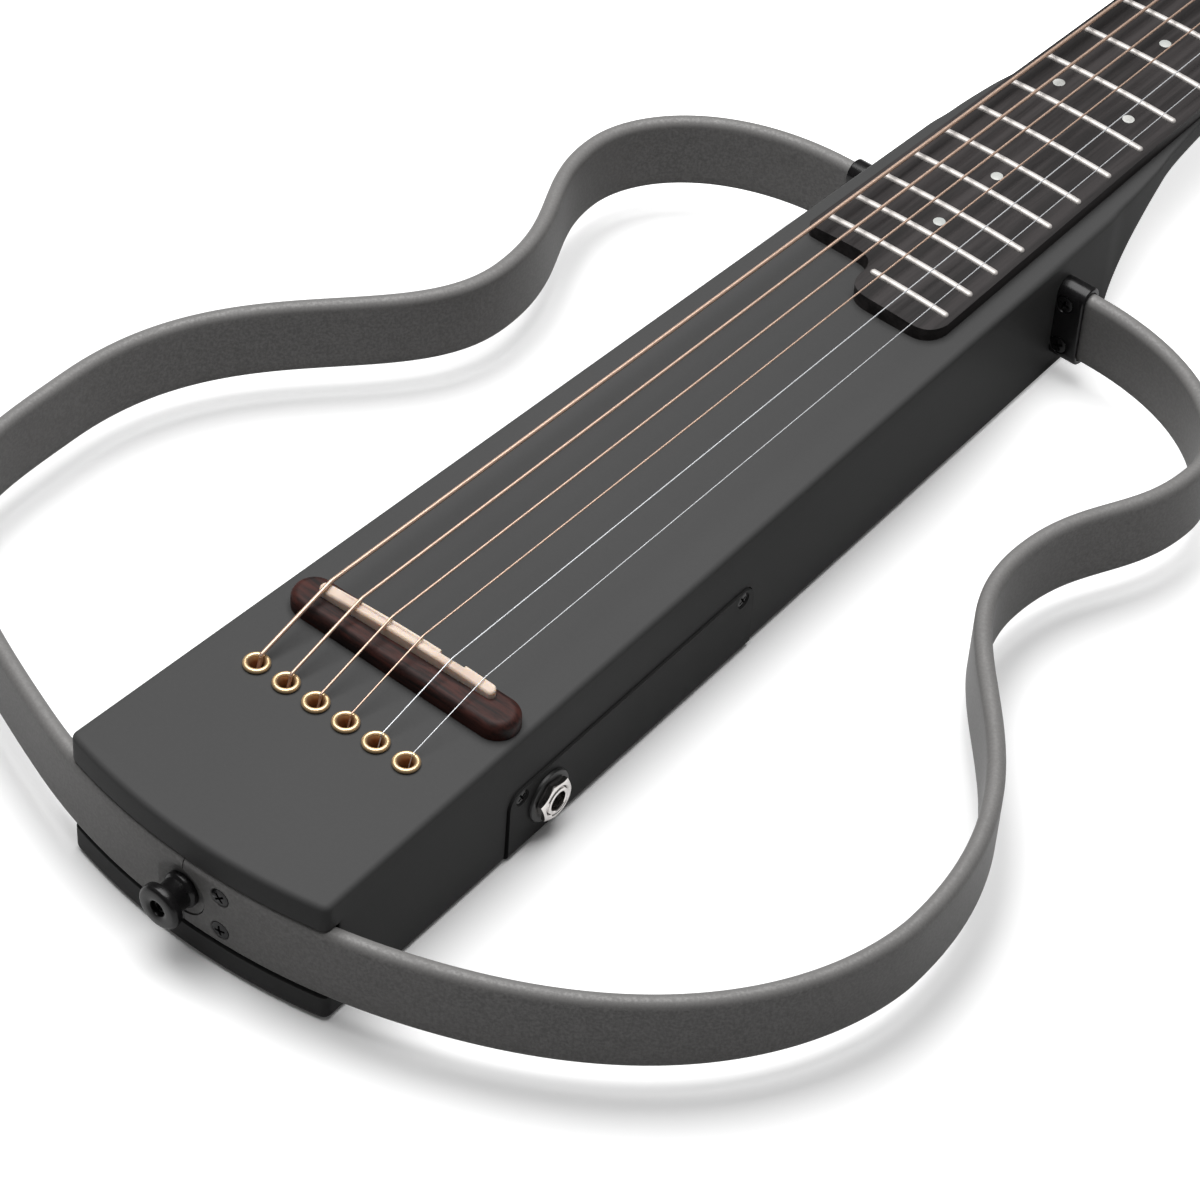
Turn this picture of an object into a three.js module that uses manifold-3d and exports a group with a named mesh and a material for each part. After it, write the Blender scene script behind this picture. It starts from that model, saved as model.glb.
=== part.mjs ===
// Skeleton frame guitar: a slim neck-through body between two bent tube frames
// that trace the outline of a full-size guitar.
// Millimetres. +X is the treble side, +Y points to the headstock, +Z is up from
// the flat back. The origin lies on the back, under the middle of the saddle.
import * as THREE from "three";
import { mergeVertices } from "three/addons/utils/BufferGeometryUtils.js";
import Module from "manifold-3d";

const wasm = await Module();
wasm.setup();

// Fits shared by every piece
const gap = 0.3;
const overrun = 5;
const roundSides = 16;
const holeSides = 10;

// Strings, from the low one on the bass side to the high one
const stringNames = ["low_e", "a", "d", "g", "b", "high_e"];
const stringDiameters = [1.35, 1.07, 0.81, 0.61, 0.41, 0.3];
const scaleLength = 650;
const saddlePitch = 11.35;
const nutPitch = 7.2;
const stringSides = 5;
const windSteps = 8;
const windTurns = 2;
const windGap = 0.5;

// Body block
const bodyDepth = 46.5;
const bodyHalfAtSaddle = 45.6;
const bodyHalfAtShoulder = 36.4;
const shoulderY = 295;
const tailY = 93;
const tailRadius = 204;
const tailCorner = 4.5;
const topEdge = 2;
const backEdge = 2.2;

// Neck and heel, below the fingerboard
const neckStartY = 395;
const neckDepthAtHeel = 18;
const neckDepthAtNut = 15.5;
const neckWall = 2.5;

// Fingerboard and frets
const boardThickness = 5.5;
const boardRadius = 400;
const boardEndPast = 10.9;
const boardStepPast = 7.3;
const boardCoveX = 3;
const boardHalfAtSaddle = 35.6;
const boardHalfAtNut = 20.8;
const boardCorner = 9;
const fretCount = 19;
const fretWidth = 2.2;
const fretHeight = 0.9;
const fretInset = 2;
const partFretReach = 30;

// Nut
const nutThickness = 5;
const nutAction = 1.2;

// Bridge, saddle and pickup strip
const bridgeLength = 83;
const bridgeWidth = 13.8;
const bridgeHeight = 6;
const bridgeEdge = 1.2;
const bridgeOffsetX = 2.1;
const bridgeSetback = 4.1;
const saddleLength = 64.1;
const saddleOffsetX = 1.1;
const saddleThickness = 3.2;
const saddleSlant = 1.9;
const saddleSetback = 2.3;
const saddleRise = 10.4;
const saddleSlotDepth = 4.6;
const saddleBackSlope = THREE.MathUtils.degToRad(19);
const pickupThickness = 1.2;
const notchDepth = 0.9;

// Ferrules and string holes
const ferruleY = 32.8;
const ferrulePitch = 11.3;
const ferruleRadius = 4.15;
const ferruleFlange = 1.5;
const ferruleSleeve = 3;
const ferruleBore = 1.7;
const ferruleThroat = 2.1;
const ferruleMouth = 2.75;
const ferruleLength = 12;
const stringHole = 1.5;
const ballRadius = 2;
const ballLength = 4;
const ballPocketRadius = 3.2;
const ballPocketDepth = 9;

// Tube frames: flat oval section and the knots of the centreline
const tubeHeight = 27;
const tubeThickness = 5.6;
const tubeEndSegments = 4;
const shoulderFrameY = 270.7;
const upperBoutHalf = 116.3;
const upperBoutY = 227.9;
const waistHalf = 98.4;
const waistY = 160.9;
const lowerBoutHalf = 162.9;
const lowerBoutY = 25.8;
const bassLag = 6.2;
const bassUpperMore = 0.7;
const bassLowerLess = 1.4;
const tailArcHalf = 66;
const frameProud = 0.5;

// Shoulder sockets
const socketWall = 1.5;
const socketReach = 10;
const socketDepth = 12;
const frameInsertion = 9;

// Frame ends at the tail, and the tail channel
const splitX = 0.9;
const tongueRadius = 8.3;
const tongueThickness = 3;
const channelPlay = 0.8;
const dipDepth = 1.2;
const dipRadius = 9.4;
const dipFloorRadius = 6.2;

// Strap button and its clamp screw
const buttonStandoff = 10;
const buttonHeadRadius = 7.2;
const buttonHeadLength = 3.6;
const buttonNeckRadius = 4.9;
const buttonBaseRadius = 5.8;
const buttonSocket = 2.2;
const clampRadius = 1.6;
const clampHeadLength = 3;
const clampTravel = 14;
const insertRadius = 3.6;

// Small screws
const screwHead = 2.9;
const screwShank = 1.5;
const screwLength = 11;
const tailScrewX = 14;
const tailScrewPitch = 13.5;
const socketScrewPitch = 17;
const socketScrewLength = 3.4;

// Electronics cover, wrapping from the treble side onto the back
const coverStartY = -8.6;
const coverEndY = 106.5;
const coverHeight = 25.7;
const coverPlate = 2;
const coverProud = 0.4;
const coverReach = 40;
const coverCorner = 5;
const coverScrewInset = 5.4;
const coverScrewDrop = 3.4;
const coverScrewHead = 2.5;
const coverScrewShank = 1.1;
const coverScrewLength = 8;
const cavityInset = 9.5;
const cavityHeight = 30;
const cavityReach = 31;
const cavityWall = 2.5;
const cavityLip = 2.5;

// Output jack
const jackY = 8.7;
const jackZ = 13.9;
const jackBore = 3.25;
const jackBarrel = 4.5;
const jackBarrelLength = 24;
const jackCan = 6.6;
const jackCanLength = 17;
const washerRadius = 8.75;
const washerThickness = 1.6;
const jackNutFlats = 12.4;
const jackNutThickness = 2.6;

// Battery and preamp board in the cavity
const batteryLength = 48;
const batteryWidth = 17;
const batteryHeight = 26;
const preampLength = 20;
const preampHeight = 18;
const preampThickness = 3;

// Truss rod
const rodRadius = 2.4;
const rodSlotDepth = 7;
const rodStartY = 235;
const rodMargin = 14;

// Headstock
const headAngle = THREE.MathUtils.degToRad(8);
const headThickness = 13.5;
const headTipPast = 49;
const headHalfNear = 36.5;
const headHalfFar = 33;
const headDrop = 0.6;
const headFlareStart = 8;
const headFlareEnd = 40;
const headCrown = 9;

// Tuners
const tunerFirst = 47;
const tunerPitch = 38;
const tunerInset = 10.5;
const housingLength = 17;
const housingWidth = 15;
const housingHeight = 10.4;
const bushingRadius = 4.8;
const bushingFlange = 6.4;
const bushingFlangeHeight = 1.6;
const postRadius = 3;
const postWaist = 2.4;
const postHeight = 13.5;
const postSink = 7;
const windHeight = 7.6;
const waistLow = 2.6;
const waistHigh = 9;
const shaftRadius = 2;
const collarRadius = 3.2;
const shaftDrop = 5.2;
const knobLength = 15;
const knobWidth = 15.5;
const knobThickness = 7;
const knobClearance = 3;

// Finishes
function finish(color, roughness, metalness) {
  return new THREE.MeshStandardMaterial({ color, roughness, metalness });
}
const satinBlack = finish(0x2b2b2b, 0.55, 0);
const gunmetal = finish(0x55575a, 0.45, 0.6);
const blackMetal = finish(0x141414, 0.4, 0.5);
const darkWood = finish(0x2a2624, 0.6, 0);
const rosewood = finish(0x4a2620, 0.5, 0);
const bone = finish(0xefe3c8, 0.45, 0);
const brass = finish(0xd8a860, 0.25, 1);
const bronzeWire = finish(0xb87850, 0.35, 1);
const steelWire = finish(0xc9cbcf, 0.25, 1);
const nickel = finish(0xd2cfcb, 0.2, 1);
const circuit = finish(0x1f4a2c, 0.6, 0);

const part = new THREE.Group();

function place(parent, name, geometry, material) {
  const mesh = new THREE.Mesh(geometry, material);
  mesh.name = name;
  parent.add(mesh);
  return mesh;
}

// Solids: conversion to and from closed meshes, and the two cuts
function toSolid(geometry) {
  let plain = geometry.clone();
  plain.deleteAttribute("normal");
  plain.deleteAttribute("uv");
  plain = mergeVertices(plain);
  const vertProperties = new Float32Array(plain.attributes.position.array);
  const triVerts = new Uint32Array(plain.index.array);
  return new wasm.Manifold(new wasm.Mesh({ numProp: 3, vertProperties, triVerts }));
}

function toGeometry(solid) {
  const mesh = solid.getMesh();
  const geometry = new THREE.BufferGeometry();
  const positions = new THREE.BufferAttribute(new Float32Array(mesh.vertProperties), 3);
  geometry.setAttribute("position", positions);
  geometry.setIndex(new THREE.BufferAttribute(new Uint32Array(mesh.triVerts), 1));
  geometry.computeVertexNormals();
  return geometry;
}

function join(first, ...others) {
  return toGeometry(others.reduce((sum, item) => sum.add(toSolid(item)), toSolid(first)));
}

function cut(first, ...others) {
  return toGeometry(others.reduce((rest, item) => rest.subtract(toSolid(item)), toSolid(first)));
}

function common(first, second) {
  return toGeometry(toSolid(first).intersect(toSolid(second)));
}

// A closed skin through a row of rings that all have the same number of points
function loft(rings) {
  const sides = rings[0].length;
  const positions = rings.flat().flatMap((point) => [point.x, point.y, point.z]);
  const faces = [];
  for (let row = 0; row + 1 < rings.length; row += 1) {
    for (let side = 0; side < sides; side += 1) {
      const a = row * sides + side;
      const b = row * sides + ((side + 1) % sides);
      faces.push(a, b, b + sides, a, b + sides, a + sides);
    }
  }
  const last = (rings.length - 1) * sides;
  for (let side = 1; side + 1 < sides; side += 1) {
    faces.push(0, side + 1, side);
    faces.push(last, last + side, last + side + 1);
  }
  const geometry = new THREE.BufferGeometry();
  geometry.setAttribute("position", new THREE.Float32BufferAttribute(positions, 3));
  geometry.setIndex(faces);
  return facingOut(geometry);
}

function facingOut(geometry) {
  const p = geometry.attributes.position;
  const index = geometry.index.array;
  let volume = 0;
  for (let i = 0; i < index.length; i += 3) {
    const a = new THREE.Vector3().fromBufferAttribute(p, index[i]);
    const b = new THREE.Vector3().fromBufferAttribute(p, index[i + 1]);
    const c = new THREE.Vector3().fromBufferAttribute(p, index[i + 2]);
    volume += a.dot(b.cross(c));
  }
  if (volume < 0) {
    for (let i = 0; i < index.length; i += 3) {
      [index[i + 1], index[i + 2]] = [index[i + 2], index[i + 1]];
    }
  }
  geometry.computeVertexNormals();
  return geometry;
}

// A round tube through a list of points, mitred at each bend
function wire(points, radius, sides = stringSides) {
  const rings = [];
  let side = null;
  points.forEach((point, i) => {
    const before = points[Math.max(i - 1, 0)];
    const after = points[Math.min(i + 1, points.length - 1)];
    const back = new THREE.Vector3().subVectors(point, before).normalize();
    const ahead = new THREE.Vector3().subVectors(after, point).normalize();
    const along = back.clone().add(ahead).normalize();
    if (side === null) {
      side = new THREE.Vector3(1, 0, 0);
    }
    side = side.clone().addScaledVector(along, -side.dot(along)).normalize();
    const up = new THREE.Vector3().crossVectors(along, side);
    const ring = [];
    for (let k = 0; k < sides; k += 1) {
      const turn = (2 * Math.PI * k) / sides;
      const spoke = side.clone().multiplyScalar(Math.cos(turn) * radius);
      ring.push(point.clone().add(spoke.addScaledVector(up, Math.sin(turn) * radius)));
    }
    rings.push(ring);
  });
  return loft(rings);
}

// A block given by its lowest and highest corners
function block(x0, x1, y0, y1, z0, z1) {
  const geometry = new THREE.BoxGeometry(x1 - x0, y1 - y0, z1 - z0);
  return geometry.translate((x0 + x1) / 2, (y0 + y1) / 2, (z0 + z1) / 2);
}

// A rod from one end to the other, along +Z, +Y or +X
function rod(axis, radius, start, end, sides = roundSides) {
  const geometry = new THREE.CylinderGeometry(radius, radius, end - start, sides);
  geometry.translate(0, (start + end) / 2, 0);
  if (axis === "z") {
    geometry.rotateX(Math.PI / 2);
  }
  if (axis === "x") {
    geometry.rotateZ(-Math.PI / 2);
  }
  return geometry;
}

// A turned piece from [radius, height] pairs, its axis along +Z
function turned(profile, sides = roundSides) {
  const points = profile.map(([radius, height]) => new THREE.Vector2(radius, height));
  return new THREE.LatheGeometry(points, sides).rotateX(Math.PI / 2);
}

function plate(shape, low, high, curveSegments = 8) {
  const options = { depth: high - low, bevelEnabled: false, curveSegments };
  return new THREE.ExtrudeGeometry(shape, options).translate(0, 0, low);
}

function mix(from, to, share) {
  return from + (to - from) * share;
}

// Widths that follow the length of the instrument
function bodyHalf(y) {
  return mix(bodyHalfAtSaddle, bodyHalfAtShoulder, y / shoulderY);
}

function boardHalf(y) {
  return mix(boardHalfAtSaddle, boardHalfAtNut, y / scaleLength);
}

// Place of a string across the instrument, for a given spacing
function acrossBy(string, pitch) {
  return (string - (stringNames.length - 1) / 2) * pitch;
}

function fretY(number) {
  return scaleLength * 2 ** (-number / 12);
}

const boardEndY = fretY(fretCount) - boardEndPast;
const boardStepY = fretY(fretCount - 1) - boardStepPast;
const boardTop = bodyDepth + boardThickness;
const fretTop = boardTop + fretHeight;
const saddleTop = bodyDepth + saddleRise;
const nutTop = fretTop + nutAction;
const midDepth = bodyDepth / 2;
const sideTilt = Math.atan((bodyHalfAtSaddle - bodyHalfAtShoulder) / shoulderY);
const nutHeadY = scaleLength + nutThickness;
const headLength = tunerFirst + (stringNames.length / 2 - 1) * tunerPitch + headTipPast;
const tubeTailRadius = tailRadius + frameProud - tubeThickness / 2;
const tailCentreY = tailRadius - tailY;

// How far a crowned surface has fallen at a distance from its middle
function crownFall(x) {
  return boardRadius - Math.sqrt(boardRadius ** 2 - x ** 2);
}

// Body, heel and neck in one loft. Each station says how far it lies along the
// heel, how far its width, its depth and its rounding have gone to the neck's.
const heelStationShares = [
  [0, 0, 0, 0],
  [0.08, 0.11, 0.23, 0.26],
  [0.16, 0.16, 0.44, 0.49],
  [0.24, 0.24, 0.64, 0.62],
  [0.32, 0.35, 0.8, 0.74],
  [0.4, 0.52, 0.92, 0.8],
  [0.5, 0.67, 1, 0.81],
  [0.6, 0.79, 1, 0.82],
  [0.7, 0.88, 1, 0.84],
  [0.8, 0.95, 1, 0.87],
  [0.9, 0.99, 1, 0.93],
  [1, 1, 1, 1],
];
const voluteStationShares = [
  [0.3, 1],
  [0.6, 1],
  [0.88, 1],
  [0.95, 0.8],
  [1, 0.35],
];

function coreRing(y, half, depth, rounding) {
  const wide = mix(backEdge, half, rounding);
  const tall = mix(backEdge, depth - neckWall, rounding);
  const edge = mix(topEdge, neckWall / 4, Math.min(1, rounding / heelStationShares[8][3]));
  const right = [];
  const topSteps = 2;
  const backSteps = 6;
  for (let i = 0; i <= topSteps; i += 1) {
    const turn = (Math.PI / 2) * (i / topSteps);
    const x = half - edge + edge * Math.sin(turn);
    right.push([x, bodyDepth - edge + edge * Math.cos(turn)]);
  }
  for (let i = 0; i <= backSteps; i += 1) {
    const turn = (Math.PI / 2) * (i / backSteps);
    const x = half - wide + wide * Math.cos(turn);
    right.push([x, bodyDepth - depth + tall - tall * Math.sin(turn)]);
  }
  const flat = right[right.length - 1];
  flat[0] = Math.max(flat[0], neckWall / 4);
  const left = right.map(([x, z]) => [-x, z]).reverse();
  return [...right, ...left].map(([x, z]) => new THREE.Vector3(x, y, z));
}

function coreLoft(proud) {
  const rings = [coreRing(-tailY - overrun, bodyHalf(-tailY - overrun) + proud, bodyDepth, 0)];
  for (const [along, width, deep, rounding] of heelStationShares) {
    const y = mix(shoulderY, neckStartY, along);
    const half = mix(bodyHalf(y) + proud, boardHalf(y), width);
    rings.push(coreRing(y, half, mix(bodyDepth, neckDepthAtHeel, deep), rounding));
  }
  for (const [along, rounding] of voluteStationShares) {
    const y = mix(neckStartY, nutHeadY, along);
    const depth = mix(neckDepthAtHeel, neckDepthAtNut, along);
    rings.push(coreRing(y, boardHalf(y), depth, rounding));
  }
  return loft(rings);
}

// The tail end in plan: a shallow arc between two rounded corners
function tailPlan() {
  const half = bodyHalf(-tailY) + overrun;
  const shape = new THREE.Shape();
  const side = bodyHalf(-tailY);
  const sideArc = Math.asin(side / tailRadius);
  const cornerY = tailCentreY - tailRadius * Math.cos(sideArc);
  shape.moveTo(half, scaleLength + headLength);
  shape.lineTo(half, 0);
  shape.lineTo(bodyHalf(0), 0);
  shape.lineTo(bodyHalf(cornerY + tailCorner), cornerY + tailCorner);
  const inner = Math.asin((side - tailCorner) / tailRadius);
  const arcX = tailRadius * Math.sin(inner);
  const arcY = tailCentreY - tailRadius * Math.cos(inner);
  shape.quadraticCurveTo(side, cornerY, arcX, arcY);
  shape.absarc(0, tailCentreY, tailRadius, inner - Math.PI / 2, -inner - Math.PI / 2, true);
  shape.quadraticCurveTo(-side, cornerY, -bodyHalf(cornerY + tailCorner), cornerY + tailCorner);
  shape.lineTo(-bodyHalf(0), 0);
  shape.lineTo(-half, 0);
  shape.lineTo(-half, scaleLength + headLength);
  return shape;
}

// The channel round the tail that takes the two frame ends
function tailChannel() {
  const floor = tubeTailRadius - tubeThickness / 2 - gap;
  const low = midDepth - tubeHeight / 2 - channelPlay;
  const high = midDepth + tubeHeight / 2 + gap;
  const ring = new THREE.Shape();
  const sweep = Math.asin((bodyHalf(-tailY) + overrun) / floor);
  ring.absarc(0, tailCentreY, floor, -Math.PI / 2 - sweep, -Math.PI / 2 + sweep, false);
  const outer = tailRadius + overrun;
  ring.absarc(0, tailCentreY, outer, -Math.PI / 2 + sweep, -Math.PI / 2 - sweep, true);
  return plate(ring, low, high, 10);
}

// Places on the headstock: across, along its face from the nut, and above it
const headMatrix = new THREE.Matrix4()
  .makeRotationX(-headAngle)
  .setPosition(0, nutHeadY, bodyDepth - headDrop);

function onHead(x, along, above) {
  return new THREE.Vector3(x, along, above).applyMatrix4(headMatrix);
}

function headHalf(along) {
  return mix(headHalfNear, headHalfFar, (along - headFlareEnd) / (headLength - headFlareEnd));
}

function headPlan() {
  const shape = new THREE.Shape();
  const root = boardHalf(nutHeadY);
  const waistShare = 0.45;
  const flareMid = mix(headFlareStart, headFlareEnd, waistShare);
  const crownShare = 0.45;
  shape.moveTo(root, 0);
  shape.lineTo(root, headFlareStart);
  shape.bezierCurveTo(root, flareMid, headHalfNear, flareMid, headHalfNear, headFlareEnd);
  shape.lineTo(headHalfFar, headLength - headCrown);
  shape.quadraticCurveTo(headHalfFar * crownShare, headLength - headCrown, 0, headLength);
  shape.quadraticCurveTo(-headHalfFar * crownShare, headLength - headCrown, -headHalfFar,
    headLength - headCrown);
  shape.lineTo(-headHalfNear, headFlareEnd);
  shape.bezierCurveTo(-headHalfNear, flareMid, -root, flareMid, -root, headFlareStart);
  shape.lineTo(-root, 0);
  return shape;
}

// The tuner of each string: side of the headstock and rank from the nut
function tunerPlace(string) {
  const onBass = string < stringNames.length / 2;
  const rank = onBass ? string : stringNames.length - 1 - string;
  const along = tunerFirst + rank * tunerPitch;
  const side = onBass ? -1 : 1;
  return { side, along, x: side * (headHalf(along) - tunerInset) };
}

function headstock() {
  const blank = plate(headPlan(), -headThickness, 0, 6);
  const holes = stringNames.map((name, string) => {
    const { x, along } = tunerPlace(string);
    return rod("z", bushingRadius + gap, -headThickness - overrun, overrun, holeSides)
      .translate(x, along, 0);
  });
  return cut(blank, ...holes).applyMatrix4(headMatrix);
}

// The treble side wall leans by the taper. On it, sizes are given outward from
// the cover's face, along the wall and up.
const sideMatrix = new THREE.Matrix4()
  .makeRotationZ(sideTilt)
  .setPosition(bodyHalfAtSaddle + coverProud, 0, 0);

function coverSidePlan(margin) {
  const start = coverStartY - margin;
  const end = coverEndY + margin;
  const top = coverHeight + margin;
  const shape = new THREE.Shape();
  shape.moveTo(start, -overrun);
  shape.lineTo(start, top - coverCorner);
  shape.absarc(start + coverCorner, top - coverCorner, coverCorner, Math.PI, Math.PI / 2, true);
  shape.absarc(end - coverCorner, top - coverCorner, coverCorner, Math.PI / 2, 0, true);
  shape.lineTo(end, -overrun);
  return shape;
}

// The L of the cover, run out past the faces of the body that trim it
function coverBlank(margin) {
  const depth = coverPlate + margin;
  const side = plate(coverSidePlan(margin), -depth, overrun, 4);
  side.applyMatrix4(new THREE.Matrix4().makeBasis(
    new THREE.Vector3(0, 1, 0), new THREE.Vector3(0, 0, 1), new THREE.Vector3(1, 0, 0)));
  const back = block(-coverReach - margin, overrun, coverStartY - margin, coverEndY + margin,
    -overrun, depth);
  return join(side, back).applyMatrix4(sideMatrix);
}

function coverCavity() {
  const start = coverStartY + cavityInset;
  const end = coverEndY - cavityInset;
  const inner = -coverPlate - gap - cavityWall;
  const room = block(-cavityReach, inner, start, end, -overrun, cavityHeight);
  const window = block(-cavityReach, overrun, start, end, -overrun, coverHeight - cavityLip);
  return join(room, window).applyMatrix4(sideMatrix);
}

// Where the cover is screwed: on the side near its upper corners, and on the back
const coverScrews = [
  { name: "side_front", face: "side", y: coverStartY + coverScrewInset },
  { name: "side_rear", face: "side", y: coverEndY - coverScrewInset },
  { name: "back_front", face: "back", y: coverStartY + coverScrewInset },
  { name: "back_rear", face: "back", y: coverEndY - coverScrewInset },
];

function atCoverScrew(geometry, screw) {
  if (screw.face === "side") {
    geometry.rotateY(Math.PI / 2).translate(0, screw.y, coverHeight - coverScrewDrop);
  } else {
    geometry.rotateX(Math.PI).translate(-coverReach + coverScrewDrop, screw.y, 0);
  }
  return geometry.applyMatrix4(sideMatrix);
}

// A countersunk screw with its flat head level at zero height and its shank below
function countersunk(head, shank, length, margin = 0) {
  const top = margin > 0 ? overrun : 0;
  const reach = length + margin;
  return turned([
    [0, -reach],
    [shank + margin, -reach],
    [shank + margin, -(head - shank) - margin],
    [head + margin, -margin],
    [head + margin, top],
    [0, top],
  ], holeSides);
}

// Places along the body that take metal parts
const buttonAxis = { x: 0, z: midDepth };

// Turns a piece made along +Z so that it points out of the tail, at zero depth
// on the frames' outer face
function outOfTail(geometry, x, z, outward = 0) {
  const face = tailCentreY - Math.sqrt((tailRadius + frameProud) ** 2 - x ** 2);
  const lean = Math.asin(x / tailRadius);
  return geometry.rotateX(Math.PI / 2).rotateZ(lean).translate(x, face - outward, z);
}

function core() {
  const rough = join(common(coreLoft(0), plate(tailPlan(), -overrun, bodyDepth + overrun, 10)),
    headstock());
  const rodSlot = block(-rodRadius - gap, rodRadius + gap, rodStartY,
    scaleLength - rodMargin, bodyDepth - rodSlotDepth, bodyDepth + overrun);
  const holes = stringNames.flatMap((name, string) => {
    const x = acrossBy(string, ferrulePitch);
    const through = rod("z", stringHole, -overrun, bodyDepth + overrun, holeSides);
    const sleeve = rod("z", ferruleSleeve + gap, bodyDepth - ferruleLength - gap,
      bodyDepth + overrun, holeSides);
    const pocket = rod("z", ballPocketRadius, -overrun, ballPocketDepth, holeSides);
    return [through, sleeve, pocket].map((item) => item.translate(x, -ferruleY, 0));
  });
  const insertHole = rod("z", insertRadius + gap, -clampTravel - tubeThickness - gap, 0);
  const screwHoles = [-1, 1].map((side) => outOfTail(
    countersunk(screwHead, screwShank, screwLength, gap), tailScrewX,
    midDepth + (side * tailScrewPitch) / 2));
  const sockets = [-1, 1].map((side) => socketMortise(side));
  const coverHoles = coverScrews.map((screw) => atCoverScrew(
    countersunk(coverScrewHead, coverScrewShank, coverScrewLength, gap), screw));
  return cut(rough, rodSlot, ...holes, tailChannel(),
    outOfTail(insertHole, buttonAxis.x, buttonAxis.z), ...screwHoles, ...sockets,
    coverBlank(gap), coverCavity(), ...coverHoles);
}

// Fingerboard: crowned, tapered, its end stepped so that only the treble
// strings reach the last fret
function boardRing(y) {
  const half = boardHalf(y);
  const ring = [];
  const steps = 6;
  for (let i = 0; i <= steps; i += 1) {
    const x = mix(half, -half, i / steps);
    ring.push(new THREE.Vector3(x, y, boardTop - crownFall(x)));
  }
  ring.push(new THREE.Vector3(-half, y, bodyDepth), new THREE.Vector3(half, y, bodyDepth));
  return ring;
}

function boardPlan() {
  const shape = new THREE.Shape();
  const half = boardHalf(0);
  const coveX = -boardCoveX;
  const treble = boardHalf(boardEndY);
  const bassCorner = boardCorner / 4;
  const step = boardStepY - boardEndY;
  shape.moveTo(half, scaleLength - gap);
  shape.lineTo(half, boardStepY);
  shape.lineTo(treble, boardStepY - step / 3);
  shape.quadraticCurveTo(treble, boardEndY, treble - boardCorner, boardEndY);
  shape.lineTo(coveX + boardCorner, boardEndY);
  shape.quadraticCurveTo(coveX, boardEndY, coveX, boardEndY + step / 2);
  shape.quadraticCurveTo(coveX, boardStepY, coveX - step / 2, boardStepY);
  shape.lineTo(-boardHalf(boardStepY) + bassCorner, boardStepY);
  shape.lineTo(-boardHalf(boardStepY), boardStepY + bassCorner);
  shape.lineTo(-half, boardStepY + bassCorner);
  shape.lineTo(-half, scaleLength - gap);
  return shape;
}

function fret(number) {
  const y = fretY(number);
  const half = boardHalf(y) - fretInset;
  const start = number === fretCount ? half - partFretReach : -half;
  const steps = 4;
  const shape = new THREE.Shape();
  const endRise = fretHeight / 2;
  for (let i = 0; i <= steps; i += 1) {
    const x = mix(start, half, i / steps);
    const rise = i === 0 || i === steps ? endRise : fretHeight;
    const point = [x, boardTop + rise - crownFall(x)];
    if (i === 0) {
      shape.moveTo(...point);
    } else {
      shape.lineTo(...point);
    }
  }
  shape.lineTo(half, boardTop - fretHeight - crownFall(half));
  shape.lineTo(start, boardTop - fretHeight - crownFall(half));
  const bar = new THREE.ExtrudeGeometry(shape, { depth: fretWidth, bevelEnabled: false });
  return bar.rotateX(Math.PI / 2).translate(0, y + fretWidth / 2, 0);
}

function fingerboard() {
  const blank = loft([boardRing(boardEndY - overrun), boardRing(scaleLength + overrun)]);
  const shaped = common(blank, plate(boardPlan(), bodyDepth, boardTop + overrun, 5));
  const frets = Array.from({ length: fretCount }, (unused, i) => fret(i + 1));
  return join(shaped, ...frets);
}

function nutPiece() {
  const half = boardHalf(scaleLength);
  const blank = block(-half, half, scaleLength, nutHeadY - gap, bodyDepth, nutTop);
  const slots = stringNames.map((name, string) => {
    const room = stringDiameters[string] / 2 + gap;
    const x = acrossBy(string, nutPitch);
    return block(x - room, x + room, scaleLength - overrun, nutHeadY + overrun,
      nutTop - room, nutTop + overrun);
  });
  return cut(blank, ...slots);
}

// Bridge: a capsule in plan with softened upper edges
function bridgePiece() {
  const reach = bridgeLength / 2 - bridgeWidth / 2;
  const radius = bridgeWidth / 2 - bridgeEdge;
  const shape = new THREE.Shape();
  shape.absarc(reach, 0, radius, -Math.PI / 2, Math.PI / 2, false);
  shape.absarc(-reach, 0, radius, Math.PI / 2, (3 * Math.PI) / 2, false);
  const blank = new THREE.ExtrudeGeometry(shape, {
    depth: bridgeHeight - bridgeEdge,
    bevelThickness: bridgeEdge,
    bevelSize: bridgeEdge,
    bevelSegments: 2,
    curveSegments: 8,
  });
  blank.translate(bridgeOffsetX, -bridgeSetback, bodyDepth);
  const floor = block(-bridgeLength, bridgeLength, -bridgeLength, bridgeLength,
    bodyDepth - bridgeHeight, bodyDepth);
  return cut(blank, floor, saddleBar(gap, bodyDepth + bridgeHeight + overrun));
}

const saddleFloor = bodyDepth + bridgeHeight - saddleSlotDepth;

// The slanted bar that the saddle fills, or its slot when there is a margin
function saddleBar(margin, top) {
  const half = saddleLength / 2 + margin;
  const thick = saddleThickness / 2 + margin;
  const shape = new THREE.Shape();
  const nose = saddleThickness / 2;
  shape.absarc(half - nose, 0, thick, -Math.PI / 2, Math.PI / 2, false);
  shape.absarc(-half + nose, 0, thick, Math.PI / 2, (3 * Math.PI) / 2, false);
  return onSaddleLine(plate(shape, saddleFloor, top, 3));
}

function onSaddleLine(geometry) {
  const slant = Math.asin(saddleSlant / saddleLength);
  return geometry.rotateZ(slant).translate(saddleOffsetX, -saddleSetback, 0);
}

function saddleLineY(x) {
  return -saddleSetback + ((x - saddleOffsetX) * saddleSlant) / saddleLength;
}

// Each string breaks over the saddle's front edge, the b string behind a notch
function breakPoint(string) {
  const x = acrossBy(string, saddlePitch);
  const radius = stringDiameters[string] / 2;
  const behind = stringNames[string] === "b" ? notchDepth : 0;
  const y = saddleLineY(x) + saddleThickness / 2 - behind;
  const top = saddleTop - crownFall(x) - behind * Math.tan(saddleBackSlope);
  return new THREE.Vector3(x, y, top + gap + radius);
}

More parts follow.
